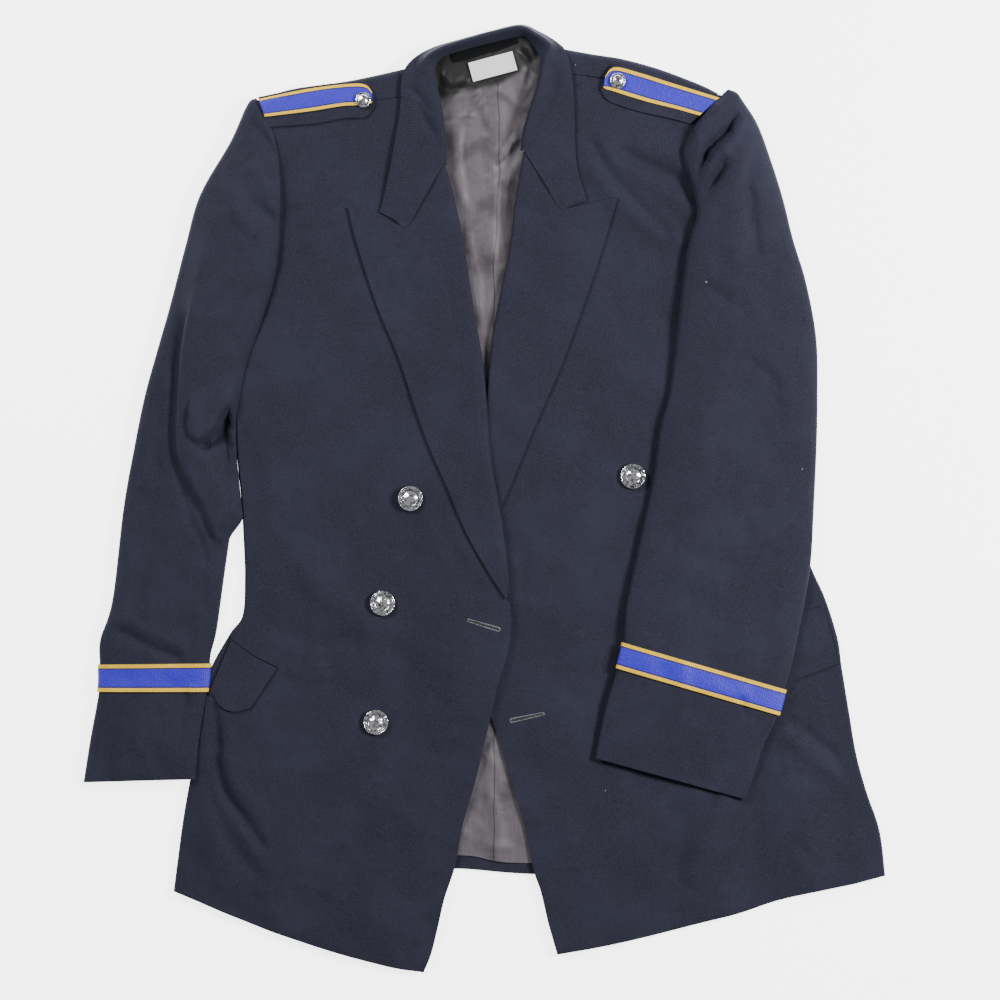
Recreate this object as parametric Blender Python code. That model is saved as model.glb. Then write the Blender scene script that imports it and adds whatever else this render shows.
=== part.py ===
"""Double-breasted fire service dress jacket, laid flat on its back on a table.

+X is the right of the picture, +Y points to the collar and +Z is up from the table. The wearer's right
side is at -X. All sizes are in millimetres and turned to metres when a mesh is made. Every cloth piece
is one sheet of points on its outer face, given its thickness by a Solidify modifier.
"""
import bpy
from collections import namedtuple
from math import cos, exp, hypot, pi, radians, sin, sqrt
from mathutils import Vector

MM = 0.001
# From the frame of the tables below to the middle of the laid-out jacket
TO_MIDDLE = Vector((0.5, -1.75, 0.0))

# Cloth thicknesses and the air between pieces that lie on each other
FRONT = 2.0
SLEEVE = 1.5
BACK = 1.5
LINING = 1.0
LAPEL = 1.6
BRAID = 1.1
SEAM_GAP = 0.6
LAY_GAP = 0.8
SIDE_GAP = 0.5
HIDDEN_GAP = 4.0

# Heights over the table
FRONT_UNDERSIDE = 3.4
SHOULDER_RISE = 7.0
OVERLAP_LIFT = 5.4
SHOULDER_RADIUS = 6.2
FOLD_ROUNDING = 2.7
POCKET_LIFT = 2.4

# How far the side panel reaches in from the fold, on top and on the table
SEAM_INSET = 26.0
FLOOR_INSET = 30.0

# How far a front stops short of its roll line, inside the lapel's fold, and how finely it is divided
ROLL_INSET = 3.4
FRONT_COLUMNS = 14
FRONT_ROWS = 21
BACK_ROWS = 9

Place = namedtuple("Place", "x y")
Fold = namedtuple("Fold", "path height width")
Section = namedtuple("Section", "left_x left_y right_x right_y bow top_left top_middle top_right")
Station = namedtuple("Station", "crest_x crest_y crest_z middle_x middle_y outer_x outer_y outer_z inner_in inner_z")

# Side folds of the body, from the hem up
FOLD_RIGHT = [(-280, -353), (-275, -314), (-270, -279), (-261, -231), (-254, -199), (-243, -150),
              (-228, -121), (-218, -105), (-216, -72), (-217, -41), (-219, 0), (-220, 44), (-223, 84)]
FOLD_LEFT = [(360, -339), (355, -299), (343, -263), (334, -230), (328, -195), (321, -152), (317, -125),
             (306, -90), (293, -61), (272, -6), (255, 44), (243, 89), (238, 135)]

# Seams where the side panels stop short of the armholes, and the armholes up to the shoulder
SEAM_END_RIGHT = [(-196, 34), (-210, 60)]
SEAM_END_LEFT = [(227, 70), (227, 100), (231, 125)]
ARMHOLE_RIGHT = [(-223, 87), (-214.8, 131), (-199.8, 173), (-185.8, 222), (-183, 264), (-185.5, 305), (-193, 345)]
ARMHOLE_LEFT = [(237, 142), (222, 172), (206, 205), (197, 250), (195, 300), (200, 348)]

# Front edges from the hem to the break of the lapel, and the roll lines from there to the neck
EDGE_RIGHT = [(-55, -426), (-47, -405), (-37, -362), (-27, -331), (-20, -293), (-10, -259), (-1, -222),
              (6, -193), (12, -167), (19, -144), (23, -121), (23, -98)]
EDGE_LEFT = [(65, -410), (57, -382), (50, -353), (44, -335), (36, -296), (27, -265), (15, -227),
             (8, -204), (-2, -168), (-11, -136), (-22, -104)]
ROLL_RIGHT = [(22, -86), (19, -49), (12, -2), (5, 40), (1, 95), (-2, 125), (-9, 164), (-18, 223),
              (-27, 268), (-35, 297)]
ROLL_LEFT = [(-23, -96), (-19, -55), (-12, -1), (-5, 44), (1, 95), (6, 142), (12, 176), (22, 225),
             (27, 267), (34, 308)]
NECK_RIGHT = [(-43, 325), (-49, 345), (-60, 362)]
NECK_LEFT = [(43, 328), (50, 352), (60, 378)]

SHOULDER_TOP_RIGHT = [(-199, 359), (-172, 368), (-129, 374), (-103, 379), (-68, 387)]
SHOULDER_TOP_LEFT = [(82, 402), (98, 399), (123, 395), (156, 386), (193, 372), (209, 364)]
BACK_HEM = [(-246, -350), (-180, -341), (-100, -335), (-27, -333), (44, -338), (180, -340), (326, -340)]
BACK_NECK = [(-60, 372), (-40, 386), (-20, 397), (7, 405), (31, 410), (48, 405), (74, 388)]
BACK_ARMHOLE_RIGHT = [(-186, 84), (-184, 130), (-180, 180), (-173, 222), (-170, 264), (-175, 310)]
BACK_ARMHOLE_LEFT = [(205, 136), (200, 200), (192, 250), (191, 300)]
HEM_RIGHT = [(-254, -364), (-228, -375), (-187, -391), (-139, -407), (-87, -421), (-55, -426)]
HEM_LEFT = [(65, -410), (110, -402), (145, -394), (196, -381), (231, -372), (268, -360), (334, -346)]
SHOULDER_SEAM_RIGHT = [(-193, 345), (-130, 352), (-76, 360), (-60, 362)]
SHOULDER_SEAM_LEFT = [(60, 378), (77, 380), (107, 376), (150, 363), (200, 348)]

# Outer edges of the lapels from the break up to the peak, and the inner end of the notch
LAPEL_EDGE_RIGHT = [(19, -90), (2, -64), (-17, -30), (-34, 10), (-49, 44), (-64, 85), (-77, 125),
                    (-98, 176), (-115, 229), (-123, 261)]
LAPEL_EDGE_LEFT = [(-20, -100), (0, -42), (22, 9), (44, 63), (65, 111), (85, 164), (105, 223), (119, 270)]
GORGE_RIGHT = Place(-69, 242)
GORGE_LEFT = Place(67, 258)

# Collar, from the wearer's right notch round the neck to the left one
COLLAR_STATIONS = [
    Station(-36, 300, 0, -70, 244, -94, 257, 0, 2, -3),
    Station(-36, 309, 0, -64, 270, -89, 277, 0, 2, -3),
    Station(-38, 331, 0, -60, 309, -82, 313, 0, 2, -3),
    Station(-43, 357, 1, -61, 344, -76, 349, 0, 2, -4),
    Station(-49, 377, 2, -63, 371, -74, 379, 0, 4, -5),
    Station(-54, 390, 3, -60, 391, -65, 393, -4, 9, -8),
    Station(-42, 402, 4, -44, 405, -46, 406, -10, 10, -11),
    Station(-20, 409, 4, -21, 412, -22, 413, -12, 9, -12),
    Station(7, 418, 4, 6, 421, 6, 422, -12, 10, -12),
    Station(31, 424, 4, 31, 426, 31, 428, -12, 11, -12),
    Station(46, 420, 4, 49, 423, 51, 424, -11, 12, -12),
    Station(58, 410, 3, 64, 413, 68, 415, -6, 13, -9),
    Station(54, 396, 2, 67, 399, 75, 403, -1, 5, -5),
    Station(50, 372, 1, 64, 372, 78, 380, 0, 2, -4),
    Station(42, 346, 0, 61, 341, 80, 344, 0, 2, -3),
    Station(36, 324, 0, 60, 300, 82, 302, 0, 2, -3),
    Station(35, 312, 0, 68, 260, 91, 268, 0, 2, -3),
]

# Sleeves from the armhole to the cuff: the two folds of each section, how far it bows, and its heights
SLEEVE_RIGHT = [
    Section(-208, 359, -185, 264, 8, 13, 13, 12),
    Section(-229, 320, -187, 222, 12, 16, 17, 12),
    Section(-256, 273, -201, 172, 13, 15, 17, 10),
    Section(-269, 228, -216, 130, 10, 13, 16, 9),
    Section(-283, 174, -225.5, 86, 8, 12, 15, 9),
    Section(-295, 132, -224.5, 48, 6, 11, 14, 9),
    Section(-306, 92, -223.5, 6, 4, 11, 13, 9),
    Section(-315, 48, -227, -28, 2, 10, 12, 9),
    Section(-325, -8, -234, -68, 0, 9, 11, 8.5),
    Section(-335, -91, -241, -118, 0, 9, 10, 8.5),
    Section(-346, -127, -247, -138, 0, 8.5, 9.5, 8.5),
    Section(-346.5, -149, -250, -148, 0, 8.5, 9.5, 8.5),
    Section(-347, -172, -252.5, -172, 0, 8.5, 9.5, 8.5),
    Section(-355, -217, -260, -216, 0, 8.5, 9.5, 10),
    Section(-361, -255, -260, -252, 0, 8.5, 9.5, 13),
]
SLEEVE_LEFT = [
    Section(183, 321, 219, 366, 0, 16, 17, 13),
    Section(180, 306, 226, 362, 0, 20, 21, 16),
    Section(187, 276, 232, 356, 0, 22, 23, 18),
    Section(190, 256, 245, 336, 0, 21, 22, 17),
    Section(184, 234, 257, 304, 0, 20, 21, 15),
    Section(180, 213, 268, 269, 0, 19, 20, 13),
    Section(176, 183, 277, 233, 0, 17, 18, 12),
    Section(172, 147, 289, 193, 0, 16, 17, 11),
    Section(166, 98, 298, 143, 0, 15, 15, 10),
    Section(157, 62, 299, 89, 0, 14, 15, 10),
    Section(151, 17, 298, 41, 0, 14, 15, 10),
    Section(140, -33, 295, -19, 0, 14, 15, 11),
    Section(130, -80, 291, -69, 0, 15, 16, 14),
    Section(126, -102, 277, -141, 0, 16, 17, 16),
    Section(124, -129, 269, -171, 0, 16, 17, 16),
    Section(119, -151, 263, -193, 0, 16, 17, 16),
    Section(108, -189, 250, -222, 0, 15.5, 16.5, 15.5),
    Section(99, -233, 234, -270, 0, 15, 16, 15),
]
# Places in the tables above where the cuff braid starts and ends
CUFF_BRAID_RIGHT = (11.0, 12.05)
CUFF_BRAID_LEFT = (14.0, 15.05)

# One fold of a sleeve, from its underside to its top: how far in from the edge, and the share of height
FOLD_PROFILE = [(15.0, 0.0), (4.5, 0.0), (1.2, 0.12), (0.0, 0.42), (1.4, 0.76), (5.5, 0.95)]
SLEEVE_COLUMNS = 8
SLEEVE_ROWS = 20
UNDER_SLEEVE_COLUMNS = 7

# The largest folds: where each runs, how high it stands or how deep it lies, and its half width
FRONT_FOLDS = [
    Fold([(-158, -70), (-105, -116)], 2.4, 15),
    Fold([(-246, -222), (-232, -262), (-212, -292)], -1.3, 13),
    Fold([(-252, -290), (-228, -350)], 2.6, 15),
    Fold([(-214, -300), (-184, -385)], 2.6, 17),
    Fold([(100, 318), (140, 245)], 2.8, 18),
    Fold([(196, -270), (212, -368)], 3.0, 20),
    Fold([(268, -215), (296, -340)], 3.0, 20),
]
SLEEVE_FOLDS_RIGHT = [
    Fold([(-257, 248), (-258, 180), (-267, 110)], 4.5, 11),
    Fold([(-270, 140), (-276, 70), (-262, 5)], -4.0, 11),
    Fold([(-262, 66), (-240, 76)], -4.0, 10),
    Fold([(-296, 95), (-294, 30)], -2.5, 10),
    Fold([(-205, 190), (-222, 110)], -3.0, 12),
    Fold([(-326, -112), (-282, -144)], -2.0, 10),
]
SLEEVE_FOLDS_LEFT = [
    Fold([(228, 340), (200, 300)], -4.0, 9),
    Fold([(244, 320), (238, 270), (246, 228)], 3.5, 13),
    Fold([(280, 210), (294, 160)], -3.0, 11),
    Fold([(236, 124), (262, 104)], -2.5, 11),
    Fold([(180, 60), (210, 40)], 2.0, 14),
]

# Shoulder straps: edges from the armhole to the point, and the braid's middle line
STRAP_TOP_RIGHT = [(-197, 357), (-160, 366), (-129, 371), (-108, 372), (-99, 362)]
STRAP_BOTTOM_RIGHT = [(-192, 333), (-155, 336), (-126, 341), (-108, 342), (-99, 352)]
STRAP_TOP_LEFT = [(106, 376), (116, 389), (140, 384), (165, 376), (202, 360)]
STRAP_BOTTOM_LEFT = [(104, 366), (112, 356), (138, 347), (165, 341), (184, 336)]
STRAP_BRAID_WIDTH = 21.0
CUFF_BRAID_LIFT = 0.5
STRAP_THICK = 1.8

# Pocket flaps: hinge and lower edge, both from left to right
FLAP_HINGE_RIGHT = [(-225, -131), (-207, -142), (-187, -152)]
FLAP_EDGE_RIGHT = [(-245, -180), (-229, -193), (-209, -189)]
FLAP_HINGE_LEFT = [(172, -132), (240, -112), (304, -97)]
FLAP_EDGE_LEFT = [(184, -183), (252, -171), (318, -148)]
JET_WIDTH = 4.5

# Buttons: centre and diameter
FRONT_BUTTON = 23.0
STRAP_BUTTON = 14.0
BUTTONS_RIGHT = [Place(-67, 0), Place(-92, -94), Place(-98, -201)]
BUTTONS_LEFT = [Place(133, 20)]
STRAP_BUTTON_RIGHT = Place(-109, 357)
STRAP_BUTTON_LEFT = Place(119, 374)

# Labels in the neck: middle, length, width; both turned by the same angle
NECK_LABEL = (Place(1, 396.5), 57.0, 11.0)
TAPE_LABEL = (Place(9, 385), 39.0, 14.0)
LABEL_TURN = radians(14)

# Colour, roughness, metallic
NAVY = ((0.024, 0.027, 0.050), 0.85, 0.0)
SATIN = ((0.155, 0.138, 0.144), 0.45, 0.0)
BRAID_BLUE = ((0.069, 0.056, 0.48), 0.6, 0.0)
SILVER = ((0.62, 0.62, 0.64), 0.25, 1.0)
TAPE = ((0.8, 0.8, 0.8), 0.8, 0.0)
LABEL_NAVY = ((0.02, 0.02, 0.05), 0.7, 0.0)


def step(value, start, end):
    """0 before start, 1 after end, smooth between"""
    t = min(max((value - start) / (end - start), 0.0), 1.0)
    return t * t * (3.0 - 2.0 * t)


def smooth(rows, at):
    """Values at a fractional row of a table, on a Catmull-Rom curve through its rows"""
    i = min(int(at), len(rows) - 2)
    t = at - i
    p1, p2 = rows[i], rows[i + 1]
    p0 = rows[i - 1] if i else [2 * a - b for a, b in zip(p1, p2)]
    p3 = rows[i + 2] if i + 2 < len(rows) else [2 * b - a for a, b in zip(p1, p2)]
    return [0.5 * (2 * b + (c - a) * t + (2 * a - 5 * b + 4 * c - d) * t * t + (3 * b - a - 3 * c + d) * t ** 3)
            for a, b, c, d in zip(p0, p1, p2, p3)]


def evenly(points, count):
    """count points, evenly spaced, on a smooth curve through the given ones"""
    fine = [Vector(smooth(points, k / 12)) for k in range(12 * (len(points) - 1) + 1)]
    lengths = [0.0]
    for a, b in zip(fine, fine[1:]):
        lengths.append(lengths[-1] + (b - a).length)
    result, k = [], 0
    for n in range(count):
        wanted = lengths[-1] * n / (count - 1)
        while k < len(fine) - 2 and lengths[k + 1] < wanted:
            k += 1
        share = (wanted - lengths[k]) / max(lengths[k + 1] - lengths[k], 1e-9)
        result.append(fine[k].lerp(fine[k + 1], min(share, 1.0)))
    return result


def across(path, y):
    """x of a path at the height y; the path rises all the way"""
    if y <= path[0][1]:
        return path[0][0]
    for (x0, y0), (x1, y1) in zip(path, path[1:]):
        if y <= y1:
            return x0 + (x1 - x0) * (y - y0) / (y1 - y0)
    return path[-1][0]


def distance(path, x, y):
    """from a point to a path"""
    best = 1e9
    for (x0, y0), (x1, y1) in zip(path, path[1:]):
        run = (x1 - x0) ** 2 + (y1 - y0) ** 2
        t = min(max(((x - x0) * (x1 - x0) + (y - y0) * (y1 - y0)) / run, 0.0), 1.0)
        best = min(best, hypot(x - x0 - t * (x1 - x0), y - y0 - t * (y1 - y0)))
    return best


def relief(folds, x, y):
    """height that the folds add at a point"""
    return sum(fold.height * exp(-(distance(fold.path, x, y) / fold.width) ** 2) for fold in folds)


def patch(bottom, top, left, right):
    """rows of points that fill four edges; bottom and top run to the right, left and right run up"""
    rows = []
    for j, (a, b) in enumerate(zip(left, right)):
        v = j / (len(left) - 1)
        row = []
        for i, (c, d) in enumerate(zip(bottom, top)):
            u = i / (len(bottom) - 1)
            corners = (bottom[0] * (1 - u) + bottom[-1] * u) * (1 - v) + (top[0] * (1 - u) + top[-1] * u) * v
            row.append(c * (1 - v) + d * v + a * (1 - u) + b * u - corners)
        rows.append(row)
    return rows


def raised(rows, height):
    """the same rows with a height at each point"""
    return [[Vector((p[0], p[1], height(p[0], p[1]))) for p in row] for row in rows]


def front_underside(y):
    """both fronts lie low at the skirt and rise to the shoulder"""
    return FRONT_UNDERSIDE + SHOULDER_RISE * step(y, 150, 340)


def overlap_lift(x, y):
    """the right front rises over the left one and its lapel"""
    beneath = across(EDGE_LEFT + ROLL_LEFT, y)
    over = step(x, beneath - 74, beneath - 9)
    return OVERLAP_LIFT * over * step(y, -300, -208) * (1 - step(y, 112, 195))


def body_top(x, y):
    """upper face of the fronts, without the lift"""
    return front_underside(y) + FRONT + relief(FRONT_FOLDS, x, y)


def right_front_top(x, y):
    return body_top(x, y) + overlap_lift(x, y)


def right_sleeve_floor(x, y):
    """the right sleeve lies on the table, and its cuff a little on the body's side"""
    return 6.6 * step(x, -287, -268) * (1 - step(y, -225, -190))


def left_sleeve_floor(x, y):
    """the left sleeve lies on the body and falls to the table past the body's side"""
    side = across(FOLD_LEFT + ARMHOLE_LEFT, y)
    on_body = front_underside(y) + FRONT + LAY_GAP + relief(FRONT_FOLDS, min(x, side), y)
    on_body += POCKET_LIFT * (1 - step(y, -92, -50))
    return on_body * (1 - step(x, side + 10, side + 10 + 3 * on_body))


def material(name, finish):
    colour, roughness, metallic = finish
    made = bpy.data.materials.new(name)
    made.use_nodes = True
    shader = made.node_tree.nodes["Principled BSDF"]
    shader.inputs["Base Color"].default_value = (*colour, 1.0)
    shader.inputs["Roughness"].default_value = roughness
    shader.inputs["Metallic"].default_value = metallic
    made.diffuse_color = (*colour, 1.0)
    return made


def add_object(name, points, faces, finish):
    mesh = bpy.data.meshes.new(name)
    mesh.from_pydata([(p + TO_MIDDLE) * MM for p in points], [], faces)
    mesh.materials.append(material(name, finish))
    mesh.shade_smooth()
    made = bpy.data.objects.new(name, mesh)
    bpy.context.scene.collection.objects.link(made)
    return made


def cloth(name, rows, thickness, finish):
    """a sheet through rows of points on its outer face; a missing point leaves a gap in the sheet"""
    number, points = {}, []
    for j, row in enumerate(rows):
        for i, point in enumerate(row):
            if point is not None:
                number[j, i] = len(points)
                points.append(point)
    faces = []
    for j in range(len(rows) - 1):
        for i in range(len(rows[0]) - 1):
            corners = [(j, i), (j, i + 1), (j + 1, i + 1), (j + 1, i)]
            if all(corner in number for corner in corners):
                faces.append([number[corner] for corner in corners])
    made = add_object(name, points, faces, finish)
    wall = made.modifiers.new("Wall", "SOLIDIFY")
    wall.thickness = thickness * MM
    wall.offset = -1.0
    wall.use_even_offset = True
    return made


def inset(path, amount):
    return [(x + amount, y) for x, y in path]


def section_point(section, share):
    """a point on a sleeve's section, bowed to the left of its run"""
    left, right = Vector(section[0:2]), Vector(section[2:4])
    run = right - left
    side = Vector((-run.y, run.x)).normalized()
    return left + run * share + side * (4 * section[4] * share * (1 - share))


def seam_right():
    return [HEM_RIGHT[0]] + inset(FOLD_RIGHT[1:-2], SEAM_INSET) + SEAM_END_RIGHT


def seam_left():
    return [HEM_LEFT[-1]] + inset(FOLD_LEFT[1:-2], -SEAM_INSET) + SEAM_END_LEFT


def fronts():
    left = evenly(seam_right() + ARMHOLE_RIGHT, FRONT_ROWS)
    right = evenly(EDGE_RIGHT + inset(ROLL_RIGHT, -ROLL_INSET) + NECK_RIGHT, FRONT_ROWS)
    rows = patch(evenly(HEM_RIGHT, FRONT_COLUMNS), evenly(SHOULDER_SEAM_RIGHT, FRONT_COLUMNS), left, right)
    cloth("front_right", raised(rows, right_front_top), FRONT, NAVY)

    left = evenly(EDGE_LEFT + inset(ROLL_LEFT, ROLL_INSET) + NECK_LEFT, FRONT_ROWS)
    right = evenly(seam_left() + ARMHOLE_LEFT, FRONT_ROWS)
    rows = patch(evenly(HEM_LEFT, FRONT_COLUMNS), evenly(SHOULDER_SEAM_LEFT, FRONT_COLUMNS), left, right)
    cloth("front_left", raised(rows, body_top), FRONT, NAVY)


def side_profile(top_inset):
    """from the table's seam round the fold to the top seam: how far in, and the height"""
    high = FRONT_UNDERSIDE + FRONT
    radius = FOLD_ROUNDING
    turn = [(radius - radius * sin(a), high / 2 - high / 2 * cos(a)) for a in (0.4, 1.0, pi / 2, pi - 1.0, pi - 0.4)]
    return [(FLOOR_INSET, 0), (12, 0), (radius, 0)] + turn + [(radius + 1, high), ((top_inset + 4) / 2, high),
                                                              (top_inset, high)]


def sides():
    for name, fold, seam, inward, drop in (("side_right", FOLD_RIGHT, seam_right(), 1, 11),
                                           ("side_left", FOLD_LEFT, seam_left(), -1, 7)):
        last = seam[-1][1]
        whole = evenly(seam + (ARMHOLE_RIGHT if inward > 0 else ARMHOLE_LEFT), FRONT_ROWS)
        stops = [point.y for point in whole if point.y < last - 5] + [last]
        rows = []
        for y in stops:
            near_hem = 1 - step(y, whole[0].y, whole[0].y + 50)
            point = Vector((across(evenly(fold, 60), y + drop * near_hem), y + drop * near_hem))
            reach = abs(across(whole, y) - point.x) - SIDE_GAP
            row = []
            for into, height in side_profile(reach):
                on_top = height > FRONT_UNDERSIDE
                slope = -drop * near_hem * into / reach if on_top else 3 * near_hem * into / FLOOR_INSET
                lift = relief(FRONT_FOLDS, point.x + inward * into, y) * step(into, 3, reach) if on_top else 0
                row.append(Vector((point.x + inward * into, point.y + slope, height + lift)))
            rows.append(row if inward > 0 else row[::-1])
        cloth(name, rows, SLEEVE, NAVY)


def shoulder_rows(line, seam):
    """the back's shoulder, from the table round its top edge to the seam; line is the top edge"""
    high = FRONT_UNDERSIDE + SHOULDER_RISE + FRONT
    rows = []
    for angle in (0.0, 0.6, 1.2, 1.8, 2.4, pi):
        rows.append([Vector((p.x, p.y - SHOULDER_RADIUS + SHOULDER_RADIUS * sin(angle), high / 2 * (1 - cos(angle))))
                     for p in line])
    rows.append([Vector((p.x, s.y + SEAM_GAP, high)) for p, s in zip(line, seam)])
    return rows


def back():
    shoulder_right = evenly(SHOULDER_TOP_RIGHT, 6)
    shoulder_left = evenly(SHOULDER_TOP_LEFT, 6)
    seam_right = evenly([(-195, 345), (-130, 352), (-68, 361)], 6)
    seam_left = evenly([(82, 380), (107, 376), (150, 363), (203, 347)], 6)
    neck = evenly(BACK_NECK, 7)
    top = [p - Vector((0, SHOULDER_RADIUS)) for p in shoulder_right] + neck
    top += [p - Vector((0, SHOULDER_RADIUS)) for p in shoulder_left]
    hem = evenly(BACK_HEM, len(top))
    floor_seam = FLOOR_INSET + HIDDEN_GAP
    left = [hem[0]] + inset(FOLD_RIGHT[1:-1], floor_seam) + BACK_ARMHOLE_RIGHT + [top[0]]
    right = [hem[-1]] + inset(FOLD_LEFT[1:-1], -floor_seam) + BACK_ARMHOLE_LEFT + [top[-1]]
    left, right = evenly(left, BACK_ROWS), evenly(right, BACK_ROWS)
    rows = [[Vector((p.x, p.y, 0)) for p in row] for row in patch(hem, top, left, right)]
    for high_right, high_left in list(zip(shoulder_rows(shoulder_right, seam_right),
                                          shoulder_rows(shoulder_left, seam_left)))[1:]:
        rows.append(high_right + [None] * len(neck) + high_left)
    cloth("back", [row[::-1] for row in rows], BACK, NAVY)


def lining_top(x, y):
    high = BACK + 0.3 + LINING
    in_neck = step(y, 160, 240) * (1 - step(y, 350, 395))
    pleat = 1.6 * exp(-((x - 10) / 8) ** 2) * in_neck
    creases = 1.3 * exp(-((x + 2 + 0.12 * (y - 260)) / 9) ** 2) * in_neck
    return high + pleat + creases + 3.4 * step(y, 345, 405)


def lining():
    bottom = evenly([(-190, -334), (-100, -325), (-22, -321), (9, -326), (41, -328), (200, -330)], 14)
    top = evenly([(-57, 374), (-43, 389), (-27, 398), (-4, 404), (29, 411), (44, 408), (58, 393)], 14)
    left = evenly([(-190, -334), (-160, -100), (-160, 100), (-140, 260), (-95, 340), (-57, 374)], 14)
    right = evenly([(200, -330), (170, -100), (170, 100), (150, 260), (100, 355), (58, 393)], 14)
    cloth("back_lining", raised(patch(bottom, top, left, right), lining_top), LINING, SATIN)


def lapel(name, roll, edge, gorge, top_of, towards):
    """a turned-back lapel; towards is +1 where it lies to the right of its roll line"""
    columns = [0.12, 0.27, 0.42, 0.6, 0.8, 1.0]
    kink_column = 0.42
    count = 17
    rolls, edges = evenly(roll, count), evenly(edge, count)
    straight = rolls[-1].lerp(edges[-1], kink_column)
    kink = Vector((gorge.x, gorge.y)) - straight
    rows = []
    for j, (start, end) in enumerate(zip(rolls, edges)):
        pull = step(j, count - 7, count - 1) ** 1.5
        width = (end - start).length
        narrow = min(1.0, width / 24.0)
        low = top_of(start.x, start.y)
        row = [Vector((start.x + towards * 1.0, start.y, low - FRONT + 0.3)),
               Vector((start.x, start.y, low - 0.4)),
               Vector((start.x + towards * 0.8, start.y, low + 1.6)),
               Vector((start.x + towards * 3.4 * narrow, start.y, low + LAY_GAP + LAPEL + 0.5))]
        for share in columns:
            tent = share / kink_column if share < kink_column else (1 - share) / (1 - kink_column)
            flat = start.lerp(end, max(share, 0.0)) + kink * tent * pull
            flat.x += towards * 3.4 * narrow * (1 - share)
            row.append(Vector((flat.x, flat.y, top_of(flat.x, flat.y) + LAY_GAP + LAPEL)))
        rows.append(row if towards > 0 else row[::-1])
    cloth(name, rows, LAPEL, NAVY)


def collar():
    rows = []
    for k in range(33):
        station = Station(*smooth(COLLAR_STATIONS, k / 32 * (len(COLLAR_STATIONS) - 1)))
        crest = Vector((station.crest_x, station.crest_y))
        middle = Vector((station.middle_x, station.middle_y))
        outer = Vector((station.outer_x, station.outer_y))
        on_body = front_underside(crest.y) + FRONT + LAY_GAP + LAPEL
        outward = (middle - crest).normalized()
        if k in (0, 32):
            outward = Vector((-1 if k == 0 else 1, 0))
        inner = crest - outward * station.inner_in
        high = on_body + 1.4 + station.crest_z * 0.55
        drop = station.outer_z
        outer_high = front_underside(outer.y) + FRONT + LAY_GAP + LAPEL
        middle_high = front_underside(middle.y) + FRONT + LAY_GAP + LAPEL
        row = [Vector((inner.x, inner.y, high + station.inner_z)),
               Vector((*(inner.lerp(crest, 0.55)), high + station.inner_z * 0.36)),
               Vector((*crest, high)),
               Vector((*crest.lerp(middle, 0.22), high - 0.3 + drop * 0.12)),
               Vector((*crest.lerp(middle, 0.6), (high + middle_high) / 2 + drop * 0.4)),
               Vector((*middle, middle_high + drop * 0.7)),
               Vector((*middle.lerp(outer, 0.5), (middle_high + outer_high) / 2 + drop * 0.95)),
               Vector((*outer, outer_high + drop * 1.15))]
        rows.append(row)
    cloth("collar", rows, LAPEL, NAVY)


def section_length(section):
    run = hypot(section.right_x - section.left_x, section.right_y - section.left_y)
    return run * (1 + 8 / 3 * (section.bow / run) ** 2)


def fold_size(height, length):
    """how large a sleeve's fold is, set against one 9 mm high, as a share of the section's length"""
    return min(max(height / 9.0, 0.8), length / 50.0) / length


def sleeve_profile(section, floor, folds, edge_from=0):
    """points of one section, from the left underside over the top to the right underside"""
    length = section_length(section)

    def top(share):
        ends = section.top_left * (1 - share) + section.top_right * share
        bulge = section.top_middle - (section.top_left + section.top_right) / 2
        return ends + 4 * bulge * share * (1 - share)

    def point(share, part, folded):
        flat = section_point(section, share)
        low = floor(flat.x, flat.y)
        high = top(share) + (relief(folds, flat.x, flat.y) if folded else 0)
        return Vector((flat.x, flat.y, low + part * (high - low)))

    left_size, right_size = fold_size(section.top_left, length), fold_size(section.top_right, length)
    left = [point(into * left_size, part, False) for into, part in FOLD_PROFILE[edge_from:]]
    right = [point(1 - into * right_size, part, False) for into, part in FOLD_PROFILE[edge_from:]]
    start, end = 14 * left_size, 1 - 14 * right_size
    middle = [point(start + (end - start) * k / (SLEEVE_COLUMNS - 1), 1.0, True) for k in range(SLEEVE_COLUMNS)]
    return left + middle + right[::-1]


def sleeve(side, table, floor, folds, braid_span):
    last = len(table) - 1
    top_rows, under_rows = [], []
    for k in range(SLEEVE_ROWS):
        section = Section(*smooth(table, last * (1 - k / (SLEEVE_ROWS - 1))))
        top_rows.append(sleeve_profile(section, floor, folds))
        length = section_length(section)
        gap = (SEAM_GAP + 5 * k / SLEEVE_ROWS) / length
        wrap = FOLD_PROFILE[0][0]
        left_in = wrap * fold_size(section.top_left, length) + gap
        right_in = wrap * fold_size(section.top_right, length) + gap
        row = []
        for i in range(UNDER_SLEEVE_COLUMNS):
            flat = section_point(section, left_in + (1 - left_in - right_in) * i / (UNDER_SLEEVE_COLUMNS - 1))
            row.append(Vector((flat.x, flat.y, floor(flat.x, flat.y))))
        under_rows.append(row[::-1])
    cloth("top_sleeve_" + side, top_rows, SLEEVE, NAVY)
    cloth("under_sleeve_" + side, under_rows, SLEEVE, NAVY)

    start, end = braid_span
    braid_rows = []
    for k in range(3):
        section = Section(*smooth(table, end + (start - end) * k / 2))
        row = sleeve_profile(section, floor, folds, edge_from=3)
        middle = (row[0] + row[-1]) / 2
        lifted = []
        for point in row:
            outward = Vector((point.x - middle.x, point.y - middle.y, 0)).normalized()
            edge = step(abs((point - middle).length), (row[0] - middle).length - 8, (row[0] - middle).length)
            lifted.append(point + outward * (edge * 1.7) + Vector((0, 0, CUFF_BRAID_LIFT + BRAID)))
        braid_rows.append(lifted)
    cloth("cuff_braid_" + side, braid_rows, BRAID, BRAID_BLUE)


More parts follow.
